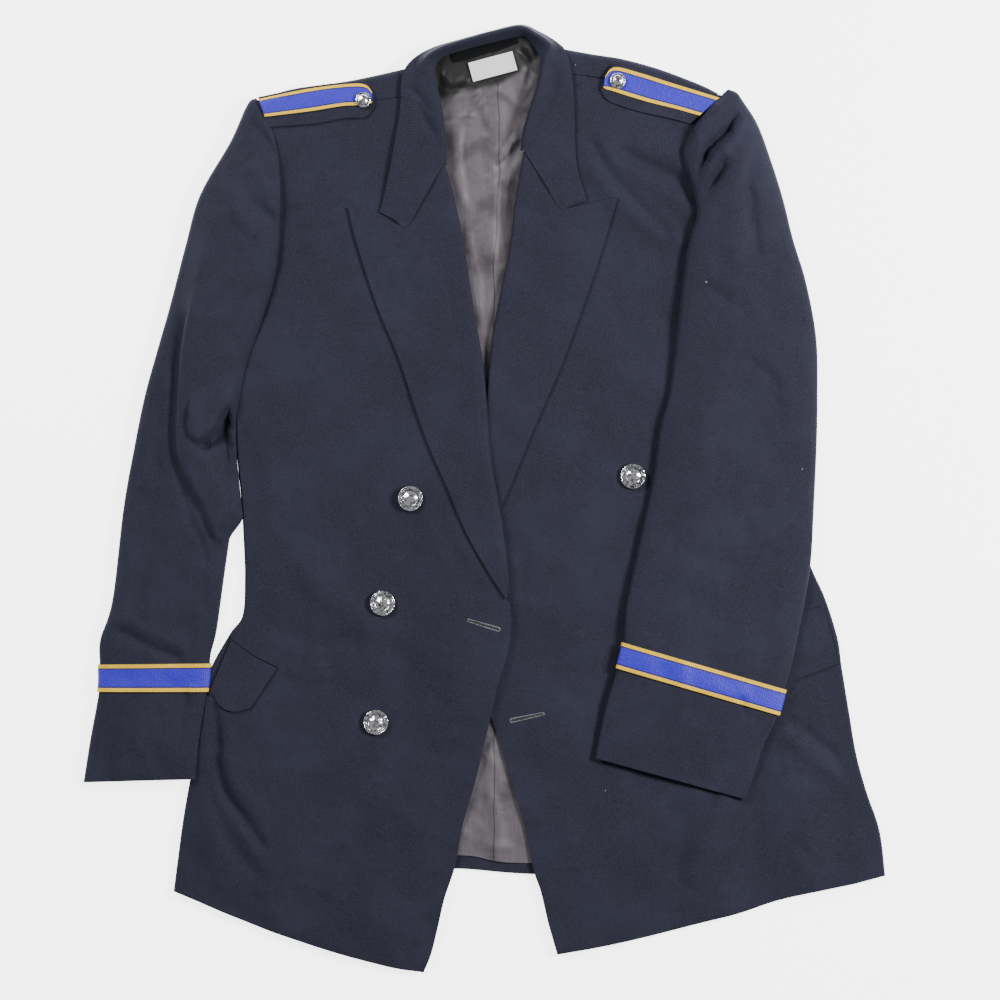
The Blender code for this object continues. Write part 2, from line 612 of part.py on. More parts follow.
def strap_height(x, y):
    """upper face of a strap; it bends down where the shoulder's top edge rounds away"""
    line = SHOULDER_TOP_RIGHT if x < 0 else SHOULDER_TOP_LEFT
    edge = next((a[1] + (b[1] - a[1]) * (x - a[0]) / (b[0] - a[0]) for a, b in zip(line, line[1:]) if x <= b[0]), 364)
    past = min(max(y - (edge - SHOULDER_RADIUS), 0.0) / SHOULDER_RADIUS, 0.8)
    high = front_underside(y) + FRONT
    return high / 2 * (1 + sqrt(1 - past * past)) + LAY_GAP + STRAP_THICK


def straps():
    for side, top, bottom in (("right", STRAP_TOP_RIGHT, STRAP_BOTTOM_RIGHT),
                              ("left", STRAP_TOP_LEFT, STRAP_BOTTOM_LEFT)):
        tops, bottoms = evenly(top, 12), evenly(bottom, 12)
        rows = [[low.lerp(high, j / 5) for low, high in zip(bottoms, tops)] for j in range(6)]
        cloth("shoulder_strap_" + side, raised(rows, strap_height), STRAP_THICK, NAVY)
        middles = [low.lerp(high, 0.56) for low, high in zip(bottoms, tops)][1:-1]
        rows = []
        for j in range(4):
            offset = STRAP_BRAID_WIDTH * (j / 3 - 0.5)
            rows.append([Vector((p.x, p.y + offset)) for p in middles])
        lifted = raised(rows, lambda x, y: strap_height(x, y) + 0.4 + BRAID)
        cloth("strap_braid_" + side, lifted, BRAID, BRAID_BLUE)


def pockets():
    for side, hinge, edge, top_of in (("right", FLAP_HINGE_RIGHT, FLAP_EDGE_RIGHT, body_top),
                                      ("left", FLAP_HINGE_LEFT, FLAP_EDGE_LEFT, body_top)):
        hinges, edges = evenly(hinge, 8), evenly(edge, 8)
        rows = [[low.lerp(high, j / 4) for low, high in zip(edges, hinges)] for j in range(5)]
        flap = raised(rows, lambda x, y: top_of(x, y) + 0.6 + LAPEL)
        cloth("pocket_flap_" + side, flap, LAPEL, NAVY)
        strip = [[p + Vector((0, 0.8 + JET_WIDTH * j)) for p in hinges] for j in range(2)]
        jet = raised(strip, lambda x, y: top_of(x, y) + 0.6 + 1.2)
        cloth("pocket_jet_" + side, jet, 1.2, NAVY)


def button(name, place, diameter, top_of):
    """a domed button with a rim, turned about its middle"""
    radius = diameter / 2
    profile = [(0.86, 0.0), (1.0, 0.07), (1.0, 0.16), (0.93, 0.22), (0.86, 0.18), (0.62, 0.34), (0.32, 0.42)]
    segments = 16
    around = [(cos(2 * pi * k / segments), sin(2 * pi * k / segments)) for k in range(segments)]
    reach = [radius * share for share in (0.0, 0.5, 1.0)]
    seat = max(top_of(place.x + r * c, place.y + r * s) for c, s in around for r in reach) + 0.5
    points = [Vector((place.x + radius * r * c, place.y + radius * r * s, seat + diameter * h * 0.62))
              for r, h in profile for c, s in around]
    points.append(Vector((place.x, place.y, seat)))
    points.append(Vector((place.x, place.y, seat + diameter * 0.44 * 0.62)))
    faces = []
    for k in range(segments):
        after = (k + 1) % segments
        faces.append([len(points) - 2, after, k])
        for ring in range(len(profile) - 1):
            a, b = ring * segments, (ring + 1) * segments
            faces.append([a + k, a + after, b + after, b + k])
        top = (len(profile) - 1) * segments
        faces.append([top + k, top + after, len(points) - 1])
    add_object(name, points, faces, SILVER)


def label(name, sizes, finish, lift):
    place, length, width = sizes
    along = Vector((cos(LABEL_TURN), sin(LABEL_TURN)))
    up = Vector((-along.y, along.x))
    rows = []
    for j in range(3):
        row = []
        for i in range(6):
            flat = Vector((place.x, place.y)) + along * (length * (i / 5 - 0.5)) + up * (width * (j / 2 - 0.5))
            row.append(Vector((flat.x, flat.y, lining_top(flat.x, flat.y) + lift)))
        rows.append(row)
    cloth(name, rows, 0.6, finish)


def remove_all():
    for old in list(bpy.data.objects):
        bpy.data.objects.remove(old, do_unlink=True)


def build():
    remove_all()
    back()
    sides()
    lining()
    fronts()
    lapel("lapel_right", ROLL_RIGHT, LAPEL_EDGE_RIGHT, GORGE_RIGHT, right_front_top, -1)
    lapel("lapel_left", ROLL_LEFT, LAPEL_EDGE_LEFT, GORGE_LEFT, body_top, 1)
    collar()
    sleeve("right", SLEEVE_RIGHT, right_sleeve_floor, SLEEVE_FOLDS_RIGHT, CUFF_BRAID_RIGHT)
    sleeve("left", SLEEVE_LEFT, left_sleeve_floor, SLEEVE_FOLDS_LEFT, CUFF_BRAID_LEFT)
    straps()
    pockets()
    for number, place in enumerate(BUTTONS_RIGHT, 1):
        button("button_right_%d" % number, place, FRONT_BUTTON, right_front_top)
    for number, place in enumerate(BUTTONS_LEFT, 1):
        button("button_left_%d" % number, place, FRONT_BUTTON, body_top)
    for side, place in (("right", STRAP_BUTTON_RIGHT), ("left", STRAP_BUTTON_LEFT)):
        button("strap_button_" + side, place, STRAP_BUTTON, lambda x, y: strap_height(x, y) + 0.4 + BRAID)
    label("tape_label", TAPE_LABEL, TAPE, 1.1)
    label("neck_label", NECK_LABEL, LABEL_NAVY, 0.95)


build()
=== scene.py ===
"""Double-breasted fire service dress jacket, laid flat on its back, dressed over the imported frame.

The tables below are in the photograph's plane in millimetres: +X is the right of the picture, +Y points
to the collar and +Z is up from the surface. The wearer's right side is at -X. TO_MIDDLE moves them to
the frame's own middle. Each cloth piece is one grid of points on its outer face with a Solidify wall.
"""
from collections import namedtuple
from functools import partial
from math import cos, pi, radians, sin

import bpy
import bmesh
import numpy as np
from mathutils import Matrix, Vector


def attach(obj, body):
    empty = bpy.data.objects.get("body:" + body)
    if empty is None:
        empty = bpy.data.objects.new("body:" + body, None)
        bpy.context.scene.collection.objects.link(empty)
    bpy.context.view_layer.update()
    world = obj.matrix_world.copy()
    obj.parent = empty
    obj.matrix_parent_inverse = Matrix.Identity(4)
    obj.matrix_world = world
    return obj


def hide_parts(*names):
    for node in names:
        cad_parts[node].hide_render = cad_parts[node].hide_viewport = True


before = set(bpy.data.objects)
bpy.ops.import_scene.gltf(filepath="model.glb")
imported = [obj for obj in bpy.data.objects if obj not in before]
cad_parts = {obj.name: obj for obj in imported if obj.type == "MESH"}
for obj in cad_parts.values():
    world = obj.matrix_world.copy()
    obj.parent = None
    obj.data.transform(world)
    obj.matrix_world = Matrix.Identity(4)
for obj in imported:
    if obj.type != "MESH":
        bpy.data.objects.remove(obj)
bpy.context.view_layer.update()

MM = 0.001
# From the frame of the tables below to the middle of the laid-out jacket
TO_MIDDLE = Vector((0.5, -1.75, 0.0))

# Cloth thicknesses and the air between pieces that lie on each other
FRONT = 2.0
SLEEVE = 1.5
BACK = 1.5
LINING = 1.0
LAPEL = 1.6
BRAID = 1.1
JET = 1.2
LABEL = 0.6
SEAM_GAP = 0.6
LAY_GAP = 0.8
SIDE_GAP = -0.35
# How near to each edge of a sheet its second row of points lies
EDGE_LOOP = 0.2
HIDDEN_GAP = 4.0

# Heights over the table
FRONT_UNDERSIDE = 3.4
SHOULDER_RISE = 7.0
OVERLAP_LIFT = 5.4
SHOULDER_RADIUS = 6.2
FOLD_ROUNDING = 2.7
POCKET_LIFT = 2.4

# How far the side panel reaches in from the fold, on top and on the table
SEAM_INSET = 26.0
FLOOR_INSET = 30.0

# How far a front stops short of its roll line, inside the lapel's fold, and how finely it is divided
ROLL_INSET = 3.4
# How far a sleeve reaches over the seam of its armhole, and how much more its padded head rolls over
SLEEVE_OVER_SEAM = 1.1
HEAD_ROLL = 0.9
# A button's lowest point over the cloth, the braid's over a strap, and the least height of a sleeve
BUTTON_SEAT = 0.5
STRAP_BRAID_LIFT = 0.4
LEAST_SLEEVE = 2.2
FLOOR_LEVEL = -1.5

# The columns of the tables. A Fold runs along its path, stands up by its height or lies that deep, and has a
# half width, with another one on its left where one side is steeper. A Section goes across a sleeve, from its
# left fold to its right one, with the bow of its line and three heights. A Station goes across the collar.
Place = namedtuple("Place", "x y")
Fold = namedtuple("Fold", "path height width left", defaults=[None])
Section = namedtuple("Section", "left_x left_y right_x right_y bow top_left top_middle top_right")
Station = namedtuple("Station", "crest_x crest_y crest_z middle_x middle_y outer_x outer_y outer_z "
                                "inner_in inner_z")

# Side folds of the body, from the hem up
FOLD_RIGHT = [(-280, -353), (-275, -314), (-270, -279), (-261, -231), (-254.5, -199), (-250, -166),
              (-245.5, -150), (-229, -121), (-218, -105), (-216, -72), (-217, -41), (-219.3, 0),
              (-223.9, 46), (-225.3, 84)]
FOLD_LEFT = [(360, -339), (355, -299), (343, -263), (334, -230), (328, -195), (321, -152), (317, -125),
             (306, -90), (293, -61), (272, -6), (255, 44), (243, 89), (238, 135)]

# Seams where the side panels stop short of the armholes, and the armholes up to the shoulder
SEAM_END_RIGHT = [(-196, 34), (-210, 60)]
SEAM_END_LEFT = [(227, 70), (227, 100), (231, 125)]
ARMHOLE_RIGHT = [(-225, 87), (-218.5, 126), (-214, 143), (-204, 171), (-194, 203), (-189, 228),
                 (-185.4, 264), (-186.8, 305), (-194.5, 345)]
ARMHOLE_LEFT = [(237, 142), (222, 172), (206, 205), (197, 250), (195, 300), (200, 348)]

# Front edges from the hem to the break of the lapel, and the roll lines from there to the neck
EDGE_RIGHT = [(-55, -426), (-47, -405), (-37, -362), (-27, -331), (-20, -293), (-10, -259), (-1, -222),
              (6, -193), (12, -167), (19, -144), (23, -121), (23, -98)]
EDGE_LEFT = [(65, -410), (57, -382), (50, -353), (44, -335), (36, -296), (27, -265), (15, -227),
             (8, -204), (-2, -168), (-11, -136), (-22, -104)]
ROLL_RIGHT = [(22, -86), (19, -49), (12, -2), (5, 40), (1, 95), (-2, 125), (-9, 164), (-18, 223),
              (-27, 268), (-35.6, 299.3)]
ROLL_LEFT = [(-23, -96), (-19, -55), (-12, -1), (-5, 44), (1, 95), (6, 142), (12, 176), (22, 225),
             (27, 267), (34.6, 311.3)]
NECK_RIGHT = [(-43, 325), (-49, 345), (-60, 362)]
NECK_LEFT = [(43, 328), (50, 352), (60, 378)]

SHOULDER_TOP_RIGHT = [(-208, 356), (-200, 359.5), (-172, 368), (-129, 374), (-103, 379), (-68, 387)]
SHOULDER_TOP_LEFT = [(70, 404), (98, 399), (123, 395), (156, 386), (193, 372), (209, 364)]
BACK_HEM = [(-246, -350), (-180, -341), (-100, -335), (-27, -333), (44, -338), (180, -340), (326, -340)]
BACK_NECK = [(-60, 372), (-40, 386), (-20, 397), (7, 405), (31, 410), (48, 405), (74, 388)]
BACK_ARMHOLE_RIGHT = [(-186, 84), (-184, 130), (-180, 180), (-173, 222), (-170, 264), (-175, 310)]
BACK_ARMHOLE_LEFT = [(205, 136), (200, 200), (192, 250), (191, 300)]
HEM_RIGHT = [(-254, -364), (-228, -375), (-187, -391), (-139, -407), (-87, -421), (-55, -426)]
HEM_LEFT = [(65, -410), (110, -402), (145, -394), (196, -381), (231, -372), (268, -360), (334, -346)]
SHOULDER_SEAM_RIGHT = [(-193, 345), (-130, 352), (-76, 360), (-60, 362)]
SHOULDER_SEAM_LEFT = [(60, 378), (77, 380), (107, 376), (150, 363), (200, 348)]
# Where the folded shoulders of the back end under the fronts
SHOULDER_END_RIGHT = [(-205, 341), (-195, 345), (-130, 352), (-68, 361)]
SHOULDER_END_LEFT = [(70, 381), (107, 376), (150, 363), (203, 347)]

# The lining: its hem and neck, and its sides from the hem up
LINING_HEM = [(-190, -334), (-100, -325), (-22, -321), (9, -326), (41, -328), (200, -330)]
LINING_NECK = [(-60, 379), (-47, 397), (-29, 407), (-5, 413), (29, 420), (44, 415), (61, 398)]
LINING_SIDE_RIGHT = [(-190, -334), (-160, -100), (-160, 100), (-140, 260), (-95, 340), (-60, 379)]
LINING_SIDE_LEFT = [(200, -330), (170, -100), (170, 100), (150, 260), (100, 355), (61, 398)]

# Outer edges of the lapels from the break up to the peak, and the inner end of the notch
LAPEL_EDGE_RIGHT = [(19, -90), (2, -64), (-17, -30), (-34, 10), (-49, 44), (-64, 85), (-77, 125),
                    (-98, 176), (-115, 229), (-123, 261)]
LAPEL_EDGE_LEFT = [(-20, -100), (0, -42), (22, 9), (44, 63), (65, 111), (85, 164), (105, 223), (119, 270)]
GORGE_RIGHT = Place(-69.6, 243.3)
GORGE_LEFT = Place(67.7, 259.4)

# Collar, from the wearer's right notch round the neck to the left one
COLLAR_STATIONS = [
    Station(-37.6, 299, 0, -70, 244, -94, 257, 0, 2, -3),
    Station(-37, 309, 0, -64, 270, -89, 277, 0, 2, -3),
    Station(-38.6, 331, 0, -60, 309, -82, 313, 0, 2, -3),
    Station(-43, 357, 1, -61, 344, -76, 349, 0, 2, -4),
    Station(-49, 377, 2, -63, 371, -74, 379, 0, 4, -5),
    Station(-54, 390, 3, -60, 391, -65, 393, -4, 9, -8),
    Station(-42, 401, 4, -44, 403.5, -46, 404.5, -10, 5, -11),
    Station(-20, 409, 4, -21, 411, -22, 412, -12, 5, -12),
    Station(7, 416.5, 4, 6, 418.5, 6, 419.5, -12, 5.5, -12),
    Station(31, 421.5, 4, 31.5, 423.5, 32, 425, -12, 5.5, -12),
    Station(44, 416, 4, 46.5, 418, 48, 419, -11, 5, -12),
    Station(57, 406, 3, 61, 408, 64, 409, -7, 10, -9),
    Station(55, 395, 2, 66, 397, 73, 399, -2, 5, -5),
    Station(50, 372, 1, 64, 372, 78, 380, 0, 2, -4),
    Station(42, 346, 0, 61, 341, 80, 344, 0, 2, -3),
    Station(36, 324, 0, 60, 300, 82, 302, 0, 2, -3),
    Station(35, 312, 0, 68, 260, 91, 268, 0, 2, -3),
]

# Sleeves from the armhole to the cuff: the two folds of each section, how far it bows, and its heights
SLEEVE_RIGHT = [
    Section(-205, 360, -186, 264, 10.5, 13, 14.5, 13.5),
    Section(-213.5, 354, -187, 246, 12, 16, 16.5, 13),
    Section(-229, 320, -186, 222, 12, 16, 17, 12.5),
    Section(-256, 273, -201, 172, 13, 15, 17, 10),
    Section(-269, 228, -216, 130, 10, 13, 16, 9),
    Section(-283, 174, -225.5, 86, 8, 12, 15, 9),
    Section(-295, 132, -222, 48, 6, 11, 14, 9),
    Section(-306, 92, -222, 6, 4, 11, 13, 9),
    Section(-315, 48, -228, -27, 2, 10, 12, 9),
    Section(-325, -8, -234, -68, 0, 9, 11, 8.5),
    Section(-335, -91, -241, -118, 0, 9, 10, 8.5),
    Section(-346, -127, -246, -138, 0, 8.5, 9.5, 8.5),
    Section(-346.5, -149, -247.3, -148, 0, 8.5, 9.5, 8.5),
    Section(-347, -172, -249.5, -172, 0, 8.5, 9.5, 8.5),
    Section(-355, -217, -256.8, -216, 0, 8.5, 9.5, 10),
    Section(-361, -255, -260, -252, 0, 8.5, 9.5, 13),
]
SLEEVE_LEFT = [
    Section(180, 320, 218, 367, 2.5, 15, 16.5, 14),
    Section(178, 306, 226, 364, 2, 19, 21, 17),
    Section(187, 276, 232, 356, 0, 22, 23, 18),
    Section(190, 256, 245, 336, 0, 21, 22, 17),
    Section(184, 234, 257, 304, 0, 20, 21, 15),
    Section(180, 213, 268, 269, 0, 19, 20, 13),
    Section(176, 183, 277, 233, 0, 17, 18, 12),
    Section(172, 147, 289, 193, 0, 16, 17, 11),
    Section(166, 98, 298, 143, 0, 15, 15, 10),
    Section(157, 62, 299, 89, 0, 14, 15, 10),
    Section(151, 17, 298, 41, 0, 14, 15, 10),
    Section(140, -33, 295, -19, 0, 14, 15, 11),
    Section(130, -80, 291, -69, 0, 15, 16, 14),
    Section(126, -102, 277, -141, 0, 16, 17, 16),
    Section(124, -129, 269, -171, 0, 16, 17, 16),
    Section(119, -151, 263, -193, 0, 16, 17, 16),
    Section(108, -189, 250, -222, 0, 13, 14, 13),
    Section(99, -233, 234, -270, 0, 11, 12, 11),
]
# Places in the tables above where the cuff braid starts and ends
CUFF_BRAID_RIGHT = (12.0, 13.05)
CUFF_BRAID_LEFT = (14.0, 15.05)

# One fold of a sleeve, from its underside to its top: how far in from the edge, and the share of height
FOLD_PROFILE = [(15.0, 0.0), (4.5, 0.0), (1.2, 0.12), (0.0, 0.42), (1.4, 0.76), (5.5, 0.95)]

# Shoulder straps: edges from the armhole to the point, and the braid's middle line
STRAP_TOP_RIGHT = [(-203.5, 360), (-160, 369), (-129, 373), (-108, 373), (-99, 362)]
STRAP_BOTTOM_RIGHT = [(-194, 333), (-155, 336), (-126, 341), (-108, 342), (-99, 352)]
STRAP_TOP_LEFT = [(106, 376), (116, 389), (140, 384), (165, 376), (213, 361)]
STRAP_BOTTOM_LEFT = [(104, 366), (112, 356), (138, 347), (165, 341), (184, 336)]
STRAP_BRAID_SPAN = {"right": (0.33, 0.94), "left": (0.28, 0.92)}
CUFF_BRAID_LIFT = 0.5
STRAP_THICK = 1.8

# Pocket flaps: hinge and lower edge, both from left to right
FLAP_HINGE_RIGHT = [(-228, -127), (-207, -142), (-187, -152)]
FLAP_EDGE_RIGHT = [(-248.5, -177), (-229.5, -191), (-211, -188.5)]
FLAP_HINGE_LEFT = [(172, -132), (240, -112), (304, -97)]
FLAP_EDGE_LEFT = [(184, -183), (252, -171), (318, -148)]
JET_WIDTH = 4.5

# Buttons: centre and diameter
FRONT_BUTTON = 23.0
STRAP_BUTTON = 14.0
BUTTONS_RIGHT = [Place(-67, 0), Place(-92, -94), Place(-98, -201)]
BUTTONS_LEFT = [Place(133, 20)]
STRAP_BUTTON_RIGHT = Place(-109, 357)
STRAP_BUTTON_LEFT = Place(119, 374)

# Labels in the neck: middle, length, width, turn in degrees, and how far the middle sags
NECK_LABEL = (Place(-0.5, 405), 61.0, 10.5, 17, 1.0)
TAPE_LABEL = (Place(7, 388), 41.0, 17.5, 15, 0.0)

# How finely the cloth is divided, in points along each way of a piece
FRONT_COLUMNS = 88
FRONT_ROWS = 250
SIDE_ROWS = 150
LAPEL_ROWS = 130
COLLAR_ROWS = 190
SLEEVE_COLUMNS = 54
SLEEVE_ROWS = 190
UNDER_SLEEVE_COLUMNS = 14
SHOULDER_COLUMNS = 56
NECK_COLUMNS = 40
BACK_ROWS = 60
LINING_COLUMNS = 130
LINING_ROWS = 240
COLLAR_COLUMNS = 40
STRAP_COLUMNS = 60
FLAP_COLUMNS = 70
BRAID_ROWS = 14

# Folds of the fronts, from the photograph: the path of each, its height or depth, and its half width
FRONT_FOLDS = [
    Fold([(-158, -70), (-105, -116)], 2.4, 15),
    Fold([(-246, -222), (-232, -262), (-212, -292)], -1.3, 13),
    Fold([(-252, -290), (-228, -350)], 2.6, 15),
    Fold([(-214, -300), (-184, -385)], 2.6, 17),
    Fold([(100, 318), (140, 245)], 2.8, 18),
    Fold([(196, -270), (212, -368)], 3.0, 20),
    Fold([(268, -215), (296, -340)], 3.0, 20),
]
FRONT_CREASES = [
    Fold([(-212, 143), (-199, 171), (-189, 203), (-184, 228), (-181, 264), (-182, 300)], -1.7, 5),
    Fold([(20, -38), (34, -56), (32, -84)], -1.5, 8),
    Fold([(28, -104), (26, -150), (16, -190), (6, -222)], -1.3, 7),
    Fold([(-42, -18), (-26, -52), (-8, -80)], -1.2, 7),
    Fold([(-248, -182), (-243, -208), (-242, -240), (-232, -268), (-216, -289), (-201, -312)], -4.2, 4.5),
    Fold([(-246, -184), (-241, -206), (-239, -224)], -2.4, 3.5),
    Fold([(-236, -190), (-232, -232), (-224, -262), (-204, -284)], 1.8, 8),
    Fold([(-256, -245), (-234, -298), (-216, -325), (-198, -343)], -1.8, 7),
    Fold([(-162, -114), (-164, -154)], -0.8, 3.5),
    Fold([(-144, -145), (-140, -163), (-158, -168), (-180, -163)], -1.1, 5, 10),
    Fold([(-205, -104), (-165, -128), (-120, -126)], -1.0, 8),
    Fold([(-150, 210), (-176, 172), (-200, 120)], -0.8, 9),
    Fold([(-205, 60), (-196, 10), (-204, -60)], 1.2, 10),
    Fold([(96, 320), (108, 297), (123, 278), (141, 260), (162, 241)], -2.6, 5),
    Fold([(123, 309), (153, 296), (176, 285), (192, 268)], -3.6, 5.5),
    Fold([(106, 318), (128, 297), (150, 281), (186, 257)], 2.4, 8),
    Fold([(92, 300), (108, 278), (134, 254), (172, 230)], 1.6, 9),
    Fold([(138, 318), (165, 307), (186, 296)], 1.5, 8),
    Fold([(128, 262), (150, 214), (160, 160)], -0.8, 12),
    Fold([(205, -271), (194, -289), (180, -307), (171, -334)], -2.0, 6),
    Fold([(216, -262), (208, -286), (194, -310), (186, -340)], 1.6, 8),
    Fold([(275, -199), (297, -217), (320, -235)], -2.0, 5),
    Fold([(270, -212), (292, -231), (316, -250)], 1.4, 7),
    Fold([(279, -307), (297, -330)], -1.4, 5),
    Fold([(232, -240), (244, -290), (240, -350)], -0.9, 10),
    Fold([(60, -160), (84, -182), (108, -190)], -0.9, 9),
    Fold([(30, -280), (70, -300), (96, -340)], 0.9, 14),
    Fold([(-60, -250), (-88, -300), (-96, -370)], 0.9, 16),
    Fold([(-84, -104), (-60, -112), (-36, -112)], -0.5, 7),
]
# Folds of the sleeves, named the same way; the head of each sleeve rolls over its armhole
SLEEVE_FOLDS_RIGHT = [
    Fold([(-256, 243), (-256, 228), (-259, 200), (-264, 176), (-268, 152), (-271.5, 125), (-273.6, 87),
          (-274.5, 62), (-273.6, 42), (-270, 30), (-265.5, 19), (-256.5, 1), (-246, -21), (-241, -35)],
         6.0, 1.9, 30),
    Fold([(-260, 240), (-262, 200), (-269, 168), (-275, 135), (-279, 95), (-280, 50), (-274, 20),
          (-262, -8)], -2.4, 4.5),
    Fold([(-260, 247), (-261, 225), (-264, 200), (-269, 172)], -2.8, 2.6),
    Fold([(-272, 3), (-265, -19), (-256, -35), (-250, -56)], -2.2, 3.2),
    Fold([(-218, 336), (-216, 318), (-212, 296)], 2.0, 6),
    Fold([(-232, 322), (-231, 300), (-228, 276), (-224, 252), (-215, 240)], 3.0, 2.8, 12),
    Fold([(-240, 312), (-238, 280), (-236, 262)], -1.6, 4.5),
    Fold([(-264, 69), (-263, 61), (-259, 53), (-252, 52.7), (-243, 61), (-234, 71), (-226, 86)],
         6.0, 1.7, 15),
    Fold([(-251, 48), (-242, 55), (-235, 64), (-229, 76)], -9.5, 4.6),
    Fold([(-234, 70), (-231, 56)], -5.0, 5.0),
    Fold([(-236, 52), (-230, 50), (-227, 30), (-228, -10)], -8.0, 7.0),
    Fold([(-254, 34), (-244, 10), (-238, -20)], 1.6, 6),
    Fold([(-264, -2), (-250, -40), (-244, -80)], 1.5, 8),
    Fold([(-212, 344), (-206, 330), (-196, 318), (-190, 308)], -3.0, 3.0, 5),
    Fold([(-224, 286), (-208, 264), (-194, 252)], -2.4, 4.5),
    Fold([(-206, 296), (-198, 280), (-192, 262)], 1.5, 5),
    Fold([(-214, 240), (-226, 190), (-238, 150)], -1.4, 11),
    Fold([(-294, 96), (-296, 30)], -2.2, 8),
    Fold([(-318, 10), (-326, -60)], 1.2, 9),
    Fold([(-328, -120), (-302, -133), (-276, -143)], -2.2, 5),
    Fold([(-326, -108), (-300, -121), (-270, -132)], 1.6, 7),
    Fold([(-262, -172), (-262, -249)], 2.2, 4.5),
    Fold([(-270, -180), (-272, -249)], -1.2, 5),
    Fold([(-300, -40), (-312, -90)], -1.0, 9),
    Fold([(-322, -180), (-328, -250)], 1.2, 9),
]
SLEEVE_FOLDS_LEFT = [
    Fold([(224, 361), (210, 351), (196, 337), (188, 321), (188, 305), (196, 295), (206, 297),
          (215, 307)], 3.6, 6),
    Fold([(229, 345), (219, 333), (207, 322), (199, 313), (195, 303)], -3.4, 6),
    Fold([(229, 347), (216, 335), (204, 324), (196, 315), (192, 304), (197, 299)], 2.6, 5.0, 1.6),
    Fold([(230, 343), (219, 332), (208, 321), (200, 312), (197, 304)], -6.0, 3.0),
    Fold([(205, 308), (218, 316), (228, 330)], 3.0, 4),
    Fold([(216, 301), (212, 296), (207, 288), (199, 277), (193, 268)], -3.6, 6),
    Fold([(213, 298), (209, 292), (206, 287), (200, 279), (195, 272)], -4.5, 4.0),
    Fold([(245, 350), (248, 320), (246, 300), (240, 282)], 3.0, 5, 10),
    Fold([(241, 300), (238, 278), (241, 242), (244, 222)], -3.2, 5),
    Fold([(230, 300), (222, 270), (224, 230), (230, 190)], 2.4, 13),
    Fold([(273, 219), (286, 188), (294, 152)], -1.6, 3.0),
    Fold([(238, 124), (261, 105)], -2.4, 4.0),
    Fold([(192, 194), (216, 179)], -1.8, 4.5),
    Fold([(256, -127), (248, -145)], -1.8, 4.5),
    Fold([(230, -181), (234, -195)], -1.6, 4.0),
    Fold([(200, 120), (196, 60), (186, 0)], 1.8, 14),
    Fold([(262, 30), (240, -10), (232, -50)], -1.6, 11),
    Fold([(160, -30), (190, -52), (220, -60)], -1.4, 10),
    Fold([(180, -120), (176, -170)], 1.0, 11),
]
# Wrinkles of the lining in the neck, and the soft valleys of the collar
LINING_FOLDS = [
    Fold([(-40, 343), (-31, 345), (-13, 353), (2, 365), (9, 370)], -2.2, 2.6),
    Fold([(-40, 338), (-30, 340), (-11, 347), (4, 359)], 1.8, 3.5),
    Fold([(-43, 359), (-25, 360), (-9, 365)], 1.6, 2.2, 5),
    Fold([(-25, 334), (-27, 309), (-23, 289), (-18, 262)], 1.9, 6),
    Fold([(-12, 330), (-15, 300), (-12, 268)], -1.6, 5),
    Fold([(-7, 352), (-4, 327), (-2, 300), (0, 262)], -1.8, 4.5),
    Fold([(2, 344), (5, 310), (4, 270), (6, 220)], 1.4, 5),
    Fold([(18, 354), (27, 345), (36, 340)], -2.0, 4),
    Fold([(16, 366), (28, 356), (38, 352)], 1.6, 4),
    Fold([(13, 297), (21, 305), (31, 317)], -4.5, 2.6),
    Fold([(13, 305), (19, 312), (28, 323)], 3.2, 3.0),
    Fold([(20, 284), (27, 296), (34, 304)], 1.6, 4),
    Fold([(12, 291), (16, 278), (16, 255), (14, 225), (12, 190)], -2.4, 2.8, 0.8),
    Fold([(20, 270), (21, 240), (17, 205)], 1.5, 4),
    Fold([(-36, 380), (-28, 372), (-16, 377)], 1.8, 3),
    Fold([(-42, 372), (-34, 366), (-22, 370)], -1.6, 2.6),
    Fold([(-40, 366), (-28, 363)], 1.3, 2.4),
    Fold([(34, 400), (40, 388), (38, 376)], -2.2, 4),
    Fold([(40, 404), (46, 390)], 1.6, 4),
    Fold([(10, 372), (13, 336), (14, 300), (12, 260), (10, 215), (8, 170)], -1.0, 1.0),
    Fold([(-14, 240), (-8, 205), (-4, 160)], 1.5, 4.5),
    Fold([(-20, 262), (-10, 235), (-6, 215)], -1.4, 4),
    Fold([(2, 200), (4, 160), (3, 120)], -1.5, 3),
    Fold([(6, -225), (4, -262), (12, -300), (10, -322)], 1.5, 5),
    Fold([(-6, -245), (-8, -285), (-14, -316)], -1.4, 4),
    Fold([(20, -262), (24, -300), (30, -322)], -1.6, 4),
    Fold([(-18, -300), (4, -312), (30, -314)], 1.3, 3.5),
    Fold([(-4, -226), (10, -240), (14, -262)], 1.2, 4),
]
COLLAR_FOLDS = [
    Fold([(-66, 366), (-58, 360), (-52, 350)], -2.4, 4),
    Fold([(-60, 352), (-54, 340), (-45, 326)], -2.8, 4),
    Fold([(60, 386), (60, 362), (47, 338)], -2.4, 5.5),
]
# Waves too shallow to name: wavelength, heading in degrees, where it starts, and height
UNEVENNESS = [(61, 12, 0.3, 0.26), (47, 74, 1.9, 0.22), (83, 131, 4.1, 0.30), (38, 158, 2.6, 0.16),
              (29, 41, 5.2, 0.12), (23, 102, 0.9, 0.09), (112, 63, 3.3, 0.34), (17, 17, 2.2, 0.05)]

# Buttonholes: from one end to the end with the eye, and the thread round them
BUTTONHOLES = [((-14.5, -109.5), (12, -117.5)), ((52, -193.5), (24, -199.5))]

